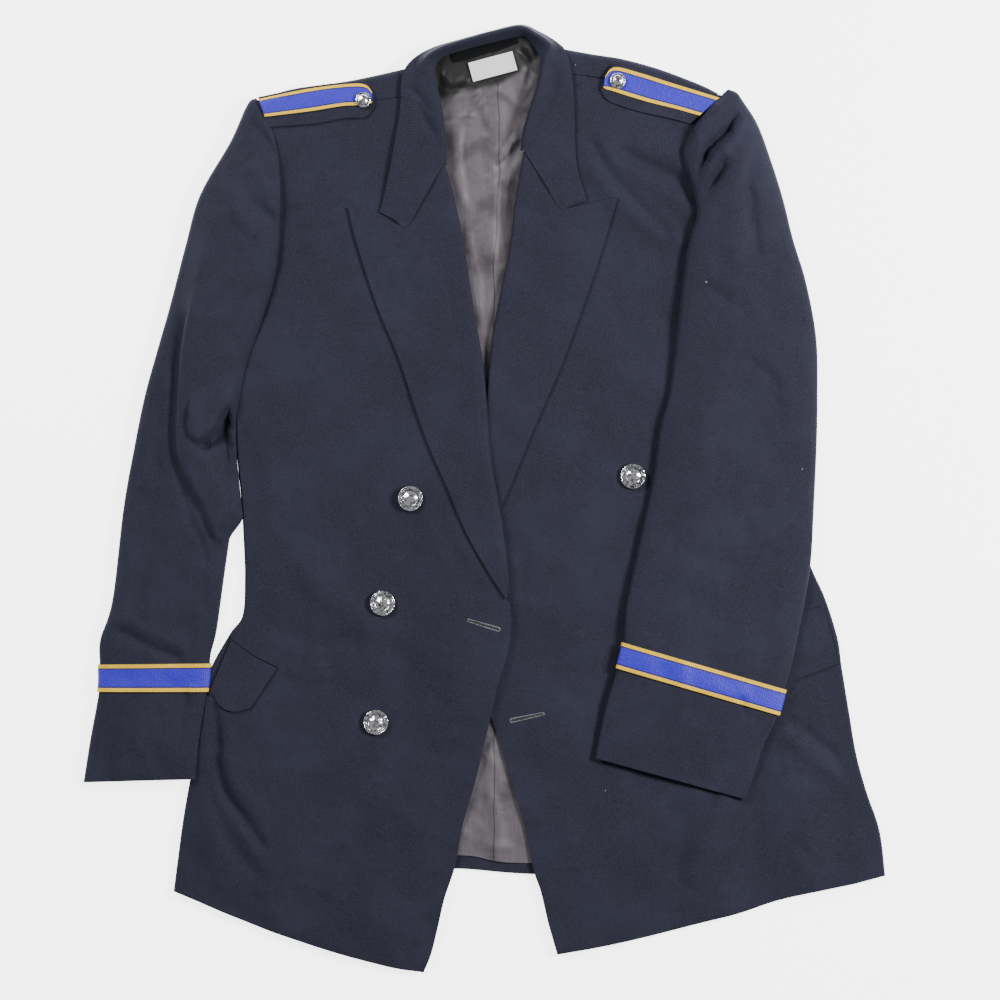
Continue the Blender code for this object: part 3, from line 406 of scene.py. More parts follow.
# Steps of a button's face from its rim to its middle: how far in and how far up, as shares of its radius.
# They stand in for the crest, which is left off.
BUTTON_STEPS = [(0.05, 0.0), (0.05, -0.10), (0.05, 0.02), (0.08, 0.10), (0.10, 0.09), (0.03, 0.05),
                (0.03, -0.04), (0.12, 0.07), (0.12, 0.05), (0.12, 0.03), (0.12, 0.01)]
BRAID_WIDTH = 21.0

# Colours as they look on a screen
WOOL_DEEP = "10101a"
WOOL_LIGHT = "262637"
WOOL_FADED = "272839"
LINT = "b9bac4"
SATIN_DEEP = "49444a"
SATIN_LIGHT = "5e585d"
SATIN_SMUDGE = "332f33"
# Near black: the satin's seam line, and the painted shade under the collar in the neck
SATIN_SEAM_AND_SHADE = "0a0b0d"
BRAID_BLUE_DEEP = "180690"
BRAID_BLUE = "280cbc"
BRAID_GOLD_DEEP = "bc900e"
BRAID_GOLD = "f6ca20"
SILVER_BRIGHT = "f2f2f5"
# Darker spots on the buttons: partly rubbed metal, partly a painted reflection of the dark cloth
SILVER_WORN_AND_REFLECTED_DARK = "63656d"

# Where the satin's drawn seam and its dark neck band, which is painted shade under the collar, lie, in
# metres.
# Each limit of the band is a slant and a height.
NECK_SHADE_BAND = [(0.25, 0.367), (0.75, 0.3585)]
SEAM_X = 0.0175
SEAM_BEND_Y = 0.31
# Stripes of the braid, in mm from its edge, with their shares before and after: the gilt, the dark line's
# two sides, and the rim
BRAID_STRIPES = [(3.3, 0.0, 1.0), (4.1, 0.0, 0.8), (3.3, 1.0, 0.0), (0.5, 0.0, 0.7)]
# The setting of every range that is passed through smoothly
SMOOTH = {"interpolation_type": "SMOOTHSTEP"}

# The camera looks straight down on a field as wide as the photograph, in metres
PHOTO_WIDTH = 0.9
PHOTO_MIDDLE = (0.014, -0.0031)
CAMERA_HEIGHT = 3.5
# Name, place, size in metres and power in watts of each lamp
LAMPS = [("key", (1.58, 0.3, 1.35), 0.6, 70.0), ("fill", (-1.2, 1.15, 1.35), 0.8, 44.0)]
WORLD_LIGHT = 0.32


def step(value, start, end):
    """0 before start, 1 after end, smooth between"""
    t = np.clip((value - start) / (end - start), 0.0, 1.0)
    return t * t * (3.0 - 2.0 * t)


def smooth(rows, at):
    """values at fractional rows of a table, on a Catmull-Rom curve through its rows"""
    rows = np.asarray(rows, float)
    padded = np.vstack([2 * rows[0] - rows[1], rows, 2 * rows[-1] - rows[-2]])
    i = np.minimum(np.asarray(at, float).astype(int), len(rows) - 2)
    t = (np.asarray(at, float) - i)[..., None]
    a, b, c, d = padded[i], padded[i + 1], padded[i + 2], padded[i + 3]
    bend, twist = 2 * a - 5 * b + 4 * c - d, 3 * b - a - 3 * c + d
    return 0.5 * (2 * b + (c - a) * t + bend * t ** 2 + twist * t ** 3)


def evenly(points, count):
    """count points, evenly spaced, on a smooth curve through the given ones"""
    fine = smooth(points, np.linspace(0, len(points) - 1, 24 * (len(points) - 1) + 1))
    along = np.concatenate([[0], np.cumsum(np.linalg.norm(np.diff(fine, axis=0), axis=1))])
    wanted = np.linspace(0, along[-1], count)
    return np.column_stack([np.interp(wanted, along, fine[:, k]) for k in range(fine.shape[1])])


def across(path, y):
    """x of a path at the height y; the path rises all the way"""
    path = np.asarray(path, float)
    return np.interp(y, path[:, 1], path[:, 0])


def distance(path, x, y):
    """from each point to a path, and whether the point lies to the left of the way the path runs"""
    best = np.full(np.broadcast(x, y).shape, 1e9)
    on_left = np.zeros(best.shape, bool)
    for (x0, y0), (x1, y1) in zip(path, path[1:]):
        run = (x1 - x0) ** 2 + (y1 - y0) ** 2
        t = np.clip(((x - x0) * (x1 - x0) + (y - y0) * (y1 - y0)) / run, 0.0, 1.0)
        away = np.hypot(x - x0 - t * (x1 - x0), y - y0 - t * (y1 - y0))
        turn = (x1 - x0) * (y - y0) - (y1 - y0) * (x - x0)
        on_left = np.where(away < best, turn > 0, on_left)
        best = np.minimum(best, away)
    return best, on_left


def relief(folds, x, y):
    """height that the folds add at each point; a fold with a second width is a lip, steep on one side"""
    total = np.zeros(np.broadcast(x, y).shape)
    for fold in folds:
        reach = 3.2 * max(fold.width, fold.left or 0)
        xs, ys = zip(*fold.path)
        beside = max(xs) + reach < np.min(x) or min(xs) - reach > np.max(x)
        if beside or max(ys) + reach < np.min(y) or min(ys) - reach > np.max(y):
            continue
        away, on_left = distance(fold.path, x, y)
        width = np.where(on_left, fold.left or fold.width, fold.width)
        total = total + fold.height * np.exp(-(away / width) ** 2)
    return total


def drawn(folds):
    """the same folds with their paths made smooth curves"""
    return [fold._replace(path=[tuple(point) for point in evenly(fold.path, 3 * len(fold.path) - 2)])
            for fold in folds]


FRONT_FOLDS, FRONT_CREASES = drawn(FRONT_FOLDS), drawn(FRONT_CREASES)
SLEEVE_FOLDS_RIGHT, SLEEVE_FOLDS_LEFT = drawn(SLEEVE_FOLDS_RIGHT), drawn(SLEEVE_FOLDS_LEFT)
LINING_FOLDS, COLLAR_FOLDS = drawn(LINING_FOLDS), drawn(COLLAR_FOLDS)


def uneven(x, y):
    """the slight waves that all laid-out cloth has"""
    total = 0.0
    for length, heading, start, height in UNEVENNESS:
        run = x * cos(radians(heading)) + y * sin(radians(heading))
        side = y * cos(radians(heading)) - x * sin(radians(heading))
        sway = 1.6 * np.sin(side / length * 2.3 + start)
        total = total + height * np.sin(2 * pi * run / length + start + sway)
    return total


def patch(bottom, top, left, right):
    """grid of points that fills four edges; bottom and top run to the right, left and right run up"""
    u = np.linspace(0, 1, len(bottom))[None, :, None]
    v = np.linspace(0, 1, len(left))[:, None, None]
    corners = (bottom[0] * (1 - u) + bottom[-1] * u) * (1 - v) + (top[0] * (1 - u) + top[-1] * u) * v
    return bottom[None] * (1 - v) + top[None] * v + left[:, None] * (1 - u) + right[:, None] * u - corners


def raised(flat, height):
    """the same grid with a height at each point"""
    return np.dstack([flat[..., 0], flat[..., 1], height(flat[..., 0], flat[..., 1])])


def front_underside(y):
    """both fronts lie low at the skirt and rise to the shoulder"""
    return FRONT_UNDERSIDE + SHOULDER_RISE * step(y, 150, 340)


def overlap_lift(x, y):
    """the right front rises over the left one and its lapel"""
    beneath = across(EDGE_LEFT + ROLL_LEFT, y)
    over = step(x, beneath - 74, beneath - 9)
    return OVERLAP_LIFT * over * step(y, -300, -208) * (1 - step(y, 112, 195))


def body_top(x, y):
    """upper face of the fronts, without the lift"""
    calm = 1 - 0.6 * step(y, 240, 330)
    return front_underside(y) + FRONT + relief(FRONT_FOLDS + FRONT_CREASES, x, y) + uneven(x, y) * calm


def right_front_top(x, y):
    """upper face of the wearer's right front, which lies on the left one"""
    return body_top(x, y) + overlap_lift(x, y)


def right_sleeve_floor(x, y):
    """the right sleeve lies on the table, and its cuff a little on the body's side"""
    return 6.6 * step(x, -287, -268) * (1 - step(y, -225, -190))


def left_sleeve_floor(x, y):
    """the left sleeve lies on the body and falls to the table past the body's side"""
    side = across(FOLD_LEFT + ARMHOLE_LEFT, y)
    inner = np.minimum(x, side)
    on_body = front_underside(y) + FRONT + LAY_GAP + relief(FRONT_FOLDS, inner, y)
    on_body = on_body + POCKET_LIFT * (1 - step(y, -92, -50))
    return on_body * (1 - step(x, side + 10, side + 10 + 3 * on_body))


def lengths(grid, axis):
    """running length of a grid's lines along one of its two ways"""
    runs = np.linalg.norm(np.diff(grid, axis=axis), axis=2)
    start = np.zeros_like(np.take(runs, [0], axis=axis))
    return np.cumsum(np.concatenate([start, runs], axis=axis), axis=axis)


def cut_of(grid):
    """a piece's greatest width and length and its area, in metres, before any gap is left in it"""
    width = float(lengths(grid, 1)[:, -1].max())
    length = float(lengths(grid, 0)[-1].max())
    one = np.cross(grid[1:, 1:] - grid[:-1, :-1], grid[1:, :-1] - grid[:-1, 1:])
    area = float(np.linalg.norm(one, axis=2).sum() / 2)
    return width * MM, length * MM, min(area * MM * MM, width * length * MM * MM)


def edged(grid):
    """the same grid with one more row and column close to each edge, so that edges look pressed"""
    for axis in (0, 1):
        grid = np.swapaxes(grid, 0, axis)
        steps = np.linalg.norm(grid[[1, -2]] - grid[[0, -1]], axis=-1)[..., None]
        share = np.minimum(EDGE_LOOP / np.maximum(steps, 1e-6), 0.5)
        near = grid[[0, -1]] * (1 - share) + grid[[1, -2]] * share
        grid = np.concatenate([grid[:1], near[:1], grid[1:-1], near[1:], grid[-1:]], axis=0)
        grid = np.swapaxes(grid, 0, axis)
    return grid


def cloth(node, grid, thickness, finish, name=None, band=None):
    """one cloth piece for a node, from a grid of points on its outer face; its UV map is in metres along
    the grid, or, for a braid, from 0 to the band's width across it"""
    name = name or node + ("_cloth" if band is None else "_band")
    grid = edged(grid)
    rows, columns = grid.shape[:2]
    there = ~np.isnan(grid[..., 2])
    number = np.cumsum(there.ravel()).reshape(there.shape) - 1
    here, later = slice(None, -1), slice(1, None)
    corners = [(here, here), (here, later), (later, later), (later, here)]
    kept = np.logical_and.reduce([there[corner] for corner in corners])
    faces = np.stack([number[corner][kept] for corner in corners], 1)
    points = (grid[there] + np.array(TO_MIDDLE)) * MM
    mesh = bpy.data.meshes.new(name)
    mesh.from_pydata(points.tolist(), [], faces.tolist())
    filled = grid.copy()
    for j in range(1, rows):
        filled[j] = np.where(np.isnan(filled[j]), filled[j - 1], filled[j])
    sideways, upwards = lengths(filled, 1), lengths(filled, 0)
    if band is not None:
        upwards = upwards * band / upwards[-1:]
    middle = sideways[:, -1:] / 2
    place = np.stack([(sideways - middle)[there] * MM, upwards[there] * MM], 1)
    layer = mesh.uv_layers.new(name="Cloth")
    point_of = np.zeros(len(mesh.loops), dtype=int)
    mesh.loops.foreach_get("vertex_index", point_of)
    layer.data.foreach_set("uv", place[point_of].ravel())
    mesh.materials.append(finish)
    mesh.shade_smooth()
    made = bpy.data.objects.new(name, mesh)
    bpy.context.scene.collection.objects.link(made)
    wall = made.modifiers.new("Wall", "SOLIDIFY")
    wall.thickness = thickness * MM
    wall.offset = -1.0
    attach(made, "root")
    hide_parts(node)
    solid = ~np.isnan(grid).any(axis=(1, 2))
    width, length, area = cut_of(grid[solid] if not solid.all() else grid)
    width, length = max(width, 0.01), max(length, 0.01)
    return made


def inset(path, amount):
    """the same path, moved to the right"""
    return [(x + amount, y) for x, y in path]


def section_point(section, share):
    """a point on a sleeve's section, bowed to the left of its run"""
    left, right = np.array(section[0:2]), np.array(section[2:4])
    run = right - left
    side = np.array((-run[1], run[0])) / np.linalg.norm(run)
    share = np.asarray(share, float)[..., None]
    return left + run * share + side * (4 * section.bow * share * (1 - share))


def seam_right():
    """where the right side panel and the front meet on top, from the hem up"""
    return [HEM_RIGHT[0]] + inset(FOLD_RIGHT[1:-2], SEAM_INSET) + SEAM_END_RIGHT


def seam_left():
    """the same seam on the left"""
    return [HEM_LEFT[-1]] + inset(FOLD_LEFT[1:-2], -SEAM_INSET) + SEAM_END_LEFT


def fronts(wool):
    """the two fronts; the wearer's right one lies on the left one where they cross"""
    left = evenly(seam_right() + ARMHOLE_RIGHT, FRONT_ROWS)
    right = evenly(EDGE_RIGHT + inset(ROLL_RIGHT, -ROLL_INSET) + NECK_RIGHT, FRONT_ROWS)
    flat = patch(evenly(HEM_RIGHT, FRONT_COLUMNS), evenly(SHOULDER_SEAM_RIGHT, FRONT_COLUMNS), left, right)
    cloth("front_right", raised(flat, right_front_top), FRONT, wool)

    left = evenly(EDGE_LEFT + inset(ROLL_LEFT, ROLL_INSET) + NECK_LEFT, FRONT_ROWS)
    right = evenly(seam_left() + ARMHOLE_LEFT, FRONT_ROWS)
    flat = patch(evenly(HEM_LEFT, FRONT_COLUMNS), evenly(SHOULDER_SEAM_LEFT, FRONT_COLUMNS), left, right)
    cloth("front_left", raised(flat, body_top), FRONT, wool)


def side_profile(reach):
    """from the seam on the table round the fold to the seam on top: how far in, and the height"""
    high = FRONT_UNDERSIDE + FRONT
    under = [(into, 0.0) for into in np.linspace(FLOOR_INSET, FOLD_ROUNDING, 9)]
    turn = [(FOLD_ROUNDING * (1 - sin(a)), high / 2 * (1 - cos(a))) for a in np.linspace(0.2, pi - 0.2, 13)]
    over = [(into, high) for into in np.linspace(FOLD_ROUNDING + 0.8, reach, 16)]
    return np.array(under + turn + over)


def sides(wool):
    """the side panels, folded over where the body's two sides lie"""
    for side, fold, seam, armhole, inward, drop in (
            ("right", FOLD_RIGHT, seam_right(), ARMHOLE_RIGHT, 1, 11),
            ("left", FOLD_LEFT, seam_left(), ARMHOLE_LEFT, -1, 7)):
        whole = evenly(seam + armhole, FRONT_ROWS)
        edge = evenly(fold, 240)
        rows = []
        for y in np.linspace(whole[0, 1], armhole[0][1] - 4, SIDE_ROWS):
            near_hem = float(1 - step(y, whole[0, 1], whole[0, 1] + 50))
            fold_y = y + drop * near_hem
            fold_x = float(across(edge, fold_y))
            reach = max(abs(float(across(whole, y)) - fold_x) - SIDE_GAP, FOLD_ROUNDING + 2)
            into, high = side_profile(reach).T
            on_top = high > FRONT_UNDERSIDE
            slope = np.where(on_top, -drop * near_hem * into / reach, 3 * near_hem * into / FLOOR_INSET)
            x = fold_x + inward * into
            folds = relief(FRONT_FOLDS + FRONT_CREASES, x, y) + uneven(x, y)
            lift = np.where(on_top, folds * step(into, 3, reach), 0.0)
            row = np.stack([x, fold_y + slope, high + lift], 1)
            rows.append(row if inward > 0 else row[::-1])
        cloth("side_" + side, np.array(rows), SLEEVE, wool)


def shoulder_rows(line, seam):
    """the back's shoulder, from the table round its top edge to the seam; line is the top edge"""
    high = FRONT_UNDERSIDE + SHOULDER_RISE + FRONT
    rows = []
    for angle in np.linspace(0.0, pi, 17):
        up = line[:, 1] - SHOULDER_RADIUS + SHOULDER_RADIUS * sin(angle)
        rows.append(np.stack([line[:, 0], up, np.full(len(line), high / 2 * (1 - cos(angle)))], 1))
    for share in np.linspace(0.1, 1.0, 14):
        up = (line[:, 1] - SHOULDER_RADIUS) * (1 - share) + (seam[:, 1] + SEAM_GAP) * share
        rows.append(np.stack([line[:, 0], up, np.full(len(line), high)], 1))
    return np.array(rows)


def back(wool):
    """the back, flat on the table, with its shoulders folded over to the shoulder seams"""
    shoulder_right, shoulder_left, over_right, over_left = [
        evenly(line, SHOULDER_COLUMNS) for line in (SHOULDER_TOP_RIGHT, SHOULDER_TOP_LEFT,
                                                    SHOULDER_END_RIGHT, SHOULDER_END_LEFT)]
    neck = evenly(BACK_NECK, NECK_COLUMNS)
    down = np.array((0, SHOULDER_RADIUS))
    top = np.vstack([shoulder_right - down, neck, shoulder_left - down])
    hem = evenly(BACK_HEM, len(top))
    floor_seam = FLOOR_INSET + HIDDEN_GAP
    left = [hem[0]] + inset(FOLD_RIGHT[1:-1], floor_seam) + BACK_ARMHOLE_RIGHT + [top[0]]
    right = [hem[-1]] + inset(FOLD_LEFT[1:-1], -floor_seam) + BACK_ARMHOLE_LEFT + [top[-1]]
    flat = patch(hem, top, evenly(left, BACK_ROWS), evenly(right, BACK_ROWS))
    low = raised(flat, lambda x, y: np.zeros_like(x))
    over = [shoulder_rows(shoulder_right, over_right), shoulder_rows(shoulder_left, over_left)]
    gap = np.full((len(over[0]), len(neck), 3), np.nan)
    grid = np.concatenate([low, np.concatenate([over[0], gap, over[1]], axis=1)[1:]], axis=0)
    cloth("back", grid[:, ::-1], BACK, wool)


def lining_top(x, y):
    """upper face of the lining without its wrinkles: a soft pleat and a crease run down from the neck"""
    high = BACK + 0.3 + LINING
    in_neck = step(y, 160, 240) * (1 - step(y, 350, 395))
    pleat = 1.6 * np.exp(-((x - 10) / 8) ** 2) * in_neck
    creases = 1.3 * np.exp(-((x + 2 + 0.12 * (y - 260)) / 9) ** 2) * in_neck
    return high + pleat + creases + 2.8 * step(y, 345, 400)


def lining_surface(x, y):
    """the lining with its wrinkles, which stay above the back"""
    in_opening = 1 - step(np.abs(x - 2) - 0.17 * (y - 95), -2, 9)
    in_hem_gap = 1 - step(np.abs(x - 8) + 0.32 * (y + 205), 0, 9)
    shown = np.clip(in_opening * step(y, 85, 120) + in_hem_gap * (1 - step(y, -215, -195)), 0, 1)
    waves = 0.5 * uneven(2.2 * x, 1.1 * y) + 0.35 * uneven(1.1 * x + 40, 0.8 * y)
    wrinkles = relief(LINING_FOLDS, x, y) + waves * (0.5 + 0.5 * step(y, 80, 330))
    return lining_top(x, y) + np.maximum(wrinkles * shown, -0.3 - 2.4 * step(y, 345, 400))


def lining(satin):
    """the lining of the back, which shows in the neck and at the hem"""
    bottom, top = evenly(LINING_HEM, LINING_COLUMNS), evenly(LINING_NECK, LINING_COLUMNS)
    left, right = evenly(LINING_SIDE_RIGHT, LINING_ROWS), evenly(LINING_SIDE_LEFT, LINING_ROWS)
    grid = raised(patch(bottom, top, left, right), lining_surface)
    cloth("back_lining", grid, LINING, satin, name="lining_cloth")


def lapel(side, roll, edge, gorge, top_of, towards, wool):
    """a turned-back lapel; towards is +1 where it lies to the right of its roll line"""
    kink_share = 0.42
    shares = np.linspace(0.1, 1.0, 40)
    rolls, edges = evenly(roll, LAPEL_ROWS), evenly(edge, LAPEL_ROWS)
    last = LAPEL_ROWS - 1
    kink = np.array(gorge) - (rolls[-1] + (edges[-1] - rolls[-1]) * kink_share)
    rows = []
    for j, (start, end) in enumerate(zip(rolls, edges)):
        pull = float(step(j, last * 9 / 16, last)) ** 1.5
        width = float(np.linalg.norm(end - start))
        narrow = min(1.0, width / 24.0)
        low = float(top_of(start[0], start[1]))
        tent = np.where(shares < kink_share, shares / kink_share, (1 - shares) / (1 - kink_share))
        flat = start + (end - start) * shares[:, None] + kink * (tent * pull)[:, None]
        flat[:, 0] += towards * ROLL_INSET * narrow * (1 - shares)
        roll_height = 1.3 * narrow * np.exp(-(shares * width / 11) ** 2)
        high = top_of(flat[:, 0], flat[:, 1]) + LAY_GAP + LAPEL + roll_height
        turn = [(towards * 1.0, low - FRONT + 0.3), (0.0, low - 0.4), (towards * 0.5, low + 1.4),
                (towards * 2.2 * narrow, low + LAY_GAP + LAPEL + 0.9)]
        keys = np.array([(start[0] + x, start[1], z) for x, z in turn] + [(*flat[0], high[0])])
        rolled = smooth(keys, np.linspace(0, 4, 17))[:-1]
        row = np.vstack([rolled, np.column_stack([flat, high])])
        rows.append(row if towards > 0 else row[::-1])
    cloth("lapel_" + side, np.array(rows), LAPEL, wool)


def collar(wool):
    """the collar, from the wearer's right notch round the neck to the left one"""
    rows = []
    last = len(COLLAR_STATIONS) - 1
    for k in range(COLLAR_ROWS):
        station = Station(*smooth(COLLAR_STATIONS, k / (COLLAR_ROWS - 1) * last))
        crest = np.array((station.crest_x, station.crest_y))
        middle = np.array((station.middle_x, station.middle_y))
        outer = np.array((station.outer_x, station.outer_y))
        on_body, middle_high, outer_high = [float(front_underside(place[1])) + FRONT + LAY_GAP + LAPEL
                                            for place in (crest, middle, outer)]
        outward = (middle - crest) / np.linalg.norm(middle - crest)
        square = max(0.0, 1 - min(k, COLLAR_ROWS - 1 - k) / 6)
        outward = outward * (1 - square) + np.array((-1.0 if k < COLLAR_ROWS / 2 else 1.0, 0.0)) * square
        inner = crest - outward * station.inner_in
        high = on_body + 1.4 + station.crest_z * 0.55
        drop = station.outer_z
        keys = [(*inner, high + station.inner_z * 0.86),
                (*(inner * 0.45 + crest * 0.55), high + station.inner_z * 0.36),
                (*crest, high),
                (*(crest * 0.78 + middle * 0.22), high - 0.3 + drop * 0.12),
                (*(crest * 0.4 + middle * 0.6), (high + middle_high) / 2 + drop * 0.4),
                (*middle, middle_high + drop * 0.7),
                (*(middle + outer) / 2, (middle_high + outer_high) / 2 + drop * 0.95),
                (*outer, outer_high + drop * 1.15 - 0.5)]
        row = smooth(np.array(keys, float), np.linspace(0, len(keys) - 1, COLLAR_COLUMNS))
        row[:, 2] -= 0.9 * float(1 - step(min(k, COLLAR_ROWS - 1 - k), 0, 12))
        rows.append(row)
    grid = np.array(rows)
    x, y = grid[..., 0], grid[..., 1]
    fade = np.minimum(1.0, np.linspace(0, 6, COLLAR_COLUMNS))[None, :]
    grid[..., 2] += (relief(COLLAR_FOLDS, x, y) + 0.6 * uneven(1.3 * x, 1.3 * y)) * fade
    cloth("collar", grid, LAPEL, wool)


def section_length(section):
    """length of a section's shallow bow"""
    run = float(np.hypot(section.right_x - section.left_x, section.right_y - section.left_y))
    return run * (1 + 8 / 3 * (section.bow / run) ** 2)


def fold_size(height, length):
    """how large a sleeve's fold is, set against one 9 mm high, as a share of the section's length"""
    return min(max(height / 9.0, 0.8), length / 50.0) / length


def sleeve_profile(section, floor, folds, edge_from=0, waves=1.0):
    """points of one section, from the left underside over the top to the right underside"""
    length = section_length(section)

    def points(share, part, folded):
        flat = section_point(section, share)
        x, y = flat[:, 0], flat[:, 1]
        ends = section.top_left * (1 - share) + section.top_right * share
        bulge = section.top_middle - (section.top_left + section.top_right) / 2
        high = ends + 4 * bulge * share * (1 - share)
        if folded:
            calm = np.minimum(1.0, 9 * share * (1 - share))
            high = high + (relief(folds, x, y) + waves * uneven(1.2 * x + 90, 1.2 * y)) * calm
        low = floor(x, y)
        return np.column_stack([flat, low + part * (np.maximum(high, low + LEAST_SLEEVE) - low)])

    last = len(FOLD_PROFILE) - 1
    into, part = smooth(FOLD_PROFILE, np.linspace(edge_from, last, 5 * (last - edge_from) + 1)).T
    part = np.clip(part, 0.0, 1.0)
    left_size, right_size = fold_size(section.top_left, length), fold_size(section.top_right, length)
    left = points(into * left_size, part, False)
    right = points(1 - into * right_size, part, False)
    middle = points(np.linspace(14 * left_size, 1 - 14 * right_size, SLEEVE_COLUMNS), 1.0, True)
    return np.vstack([left, middle, right[::-1]])


def set_in(row, edge, top_of):
    """moves the body's side of a sleeve's row up to the armhole that it is sewn into; what stands higher
    than the front rolls a little over the seam, as a padded sleeve head does"""
    y = row[-1, 1]
    far = row[:, 0].max()
    away = float(across(edge, y)) + SLEEVE_OVER_SEAM - far
    start, end = edge[0][1], edge[-1][1]
    meets = float(step(y, start + 50, start + 66)) * float(1 - step(y, end + 10, end + 22))
    meets *= float(1 - step(abs(away), 8, 13))
    near = step(row[:, 0], far - 34, far - 6)
    top = float(top_of(far + away, y))
    over = HEAD_ROLL * step(row[:, 2], top + 0.1, top + 1.6)
    row[:, 0] += (away + over) * near * meets
    return row


def sleeve(side, table, floor, folds, braid_span, wool, braid):
    """a two-piece sleeve with its cuff braid, from the cuff up to the head"""
    last = len(table) - 1
    top_rows, under_rows = [], []
    wrap = FOLD_PROFILE[0][0]
    for k in range(SLEEVE_ROWS):
        share = k / (SLEEVE_ROWS - 1)
        section = Section(*smooth(table, last * (1 - share)))
        row = sleeve_profile(section, floor, folds)
        top_rows.append(set_in(row, FOLD_RIGHT[8:] + ARMHOLE_RIGHT, body_top) if side == "right" else row)
        length = section_length(section)
        gap = (SEAM_GAP + 5 * share) / length
        left_in = wrap * fold_size(section.top_left, length) + gap
        right_in = wrap * fold_size(section.top_right, length) + gap
        flat = section_point(section, np.linspace(left_in, 1 - right_in, UNDER_SLEEVE_COLUMNS))
        under_rows.append(np.column_stack([flat, floor(flat[:, 0], flat[:, 1])])[::-1])
    cloth("top_sleeve_" + side, np.array(top_rows), SLEEVE, wool)
    cloth("under_sleeve_" + side, np.array(under_rows), SLEEVE, wool)

    start, end = braid_span
    rows = []
    for share in np.linspace(0, 1, BRAID_ROWS):
        section = Section(*smooth(table, end + (start - end) * share))
        row = sleeve_profile(section, floor, folds, edge_from=3)
        middle = (row[0] + row[-1]) / 2
        outward = row - middle
        outward[:, 2] = 0
        outward /= np.maximum(np.linalg.norm(outward, axis=1, keepdims=True), 1e-6)
        half = np.linalg.norm(row[0] - middle)
        edge = step(np.linalg.norm(row - middle, axis=1), half - 8, half)
        row = row + outward * (edge * 1.7)[:, None]
        row[:, 2] += CUFF_BRAID_LIFT + BRAID
        rows.append(row)
    cloth("cuff_braid_" + side, np.array(rows), BRAID, braid,
          band=BRAID_WIDTH)


def strap_height(x, y):
    """upper face of a strap; it bends down where the shoulder's top edge rounds away"""
    right, left = np.array(SHOULDER_TOP_RIGHT), np.array(SHOULDER_TOP_LEFT)
    edge = np.where(x < 0, np.interp(x, right[:, 0], right[:, 1]), np.interp(x, left[:, 0], left[:, 1]))
    past = np.clip((y - (edge - SHOULDER_RADIUS)) / SHOULDER_RADIUS, 0.0, 0.8)
    high = front_underside(y) + FRONT
    rounded = high / 2 * (1 + np.sqrt(1 - past * past))
    return rounded + LAY_GAP + STRAP_THICK + 0.35 * uneven(1.4 * x, 1.4 * y)


def strap_braid_height(x, y):
    """upper face of the braid on a strap"""
    return strap_height(x, y) + STRAP_BRAID_LIFT + BRAID


def straps(wool, braid):
    """the shoulder straps with the braid that lies along them"""
    for side, top, bottom in (("right", STRAP_TOP_RIGHT, STRAP_BOTTOM_RIGHT),
                              ("left", STRAP_TOP_LEFT, STRAP_BOTTOM_LEFT)):
        tops, bottoms = evenly(top, STRAP_COLUMNS), evenly(bottom, STRAP_COLUMNS)
        share = np.linspace(0, 1, 20)[:, None, None]
        flat = bottoms[None] * (1 - share) + tops[None] * share
        cloth("shoulder_strap_" + side, raised(flat, strap_height), STRAP_THICK,
              wool)
        share = np.linspace(*STRAP_BRAID_SPAN[side], BRAID_ROWS)[:, None, None]
        flat = bottoms[None] * (1 - share) + tops[None] * share
        flat = flat[:, 2:] if side == "left" else flat[:, :-2]
        cloth("strap_braid_" + side,
              raised(flat, strap_braid_height), BRAID, braid,
              band=BRAID_WIDTH)


def pockets(wool):
    """a flap on each front, with the jet that edges the pocket above it"""
    for side, hinge, edge in (("right", FLAP_HINGE_RIGHT, FLAP_EDGE_RIGHT),
                              ("left", FLAP_HINGE_LEFT, FLAP_EDGE_LEFT)):
        hinges, edges = evenly(hinge, FLAP_COLUMNS), evenly(edge, FLAP_COLUMNS)
        share = np.linspace(0, 1, 28)[:, None, None]
        flap = edges[None] * (1 - share) + hinges[None] * share
        rise = np.linspace(0, 1, 5)[:, None] * JET_WIDTH + LAY_GAP
        jet = np.dstack([np.broadcast_to(hinges[:, 0], (5, FLAP_COLUMNS)), hinges[:, 1] + rise])
        for part, flat, thickness in (("pocket_flap_", flap, LAPEL), ("pocket_jet_", jet, JET)):
            grid = raised(flat, body_top)
            grid[..., 2] += SEAM_GAP + thickness
            cloth(part + side, grid, thickness, wool)


def labels(woven, cotton):
    """the dark woven label and the white tape on its edge, both bare"""
    for node, (place, length, width, turn, sag), finish, lift in (
            ("neck_label", NECK_LABEL, woven, 1.0), ("tape_label", TAPE_LABEL, cotton, 2.0)):
        along = np.array((cos(radians(turn)), sin(radians(turn))))
        up = np.array((-along[1], along[0]))
        u = np.linspace(-0.5, 0.5, 50)[None, :, None]
        v = np.linspace(-0.5, 0.5, 14)[:, None, None]
        flat = np.array(place) + along * length * u + up * (width * v + sag * (4 * u * u - 0.5))
        grid = raised(flat, lambda x, y: lining_top(x, y) + lift)
        grid[..., 2] += 0.35 * np.sin(grid[..., 0] * 0.22 + 1) + 0.3
        cloth(node, grid, LABEL, finish)


def only(made):
    """this object alone is selected and active"""
    for other in bpy.context.selected_objects:
        other.select_set(False)
    made.select_set(True)
    bpy.context.view_layer.objects.active = made


def select_faces(made, wanted):
    """in edit mode, selects the faces for which wanted(middle, normal) is true"""
    bm = bmesh.from_edit_mesh(made.data)
    bpy.ops.mesh.select_mode(type="FACE")
    for face in bm.faces:
        face.select_set(bool(wanted(face.calc_center_median(), face.normal)))
    bmesh.update_edit_mesh(made.data)


def select_points(made, wanted):
    """in edit mode, selects the points for which wanted(place) is true"""
    bm = bmesh.from_edit_mesh(made.data)
    bpy.ops.mesh.select_mode(type="VERT")
    for vert in bm.verts:
        vert.select_set(bool(wanted(vert.co)))
    bm.select_flush_mode()
    bmesh.update_edit_mesh(made.data)


def apply_place(made):
    """puts an object's place into its mesh, so the object itself sits at the origin"""
    only(made)
    bpy.ops.object.transform_apply(location=True, rotation=True, scale=True)


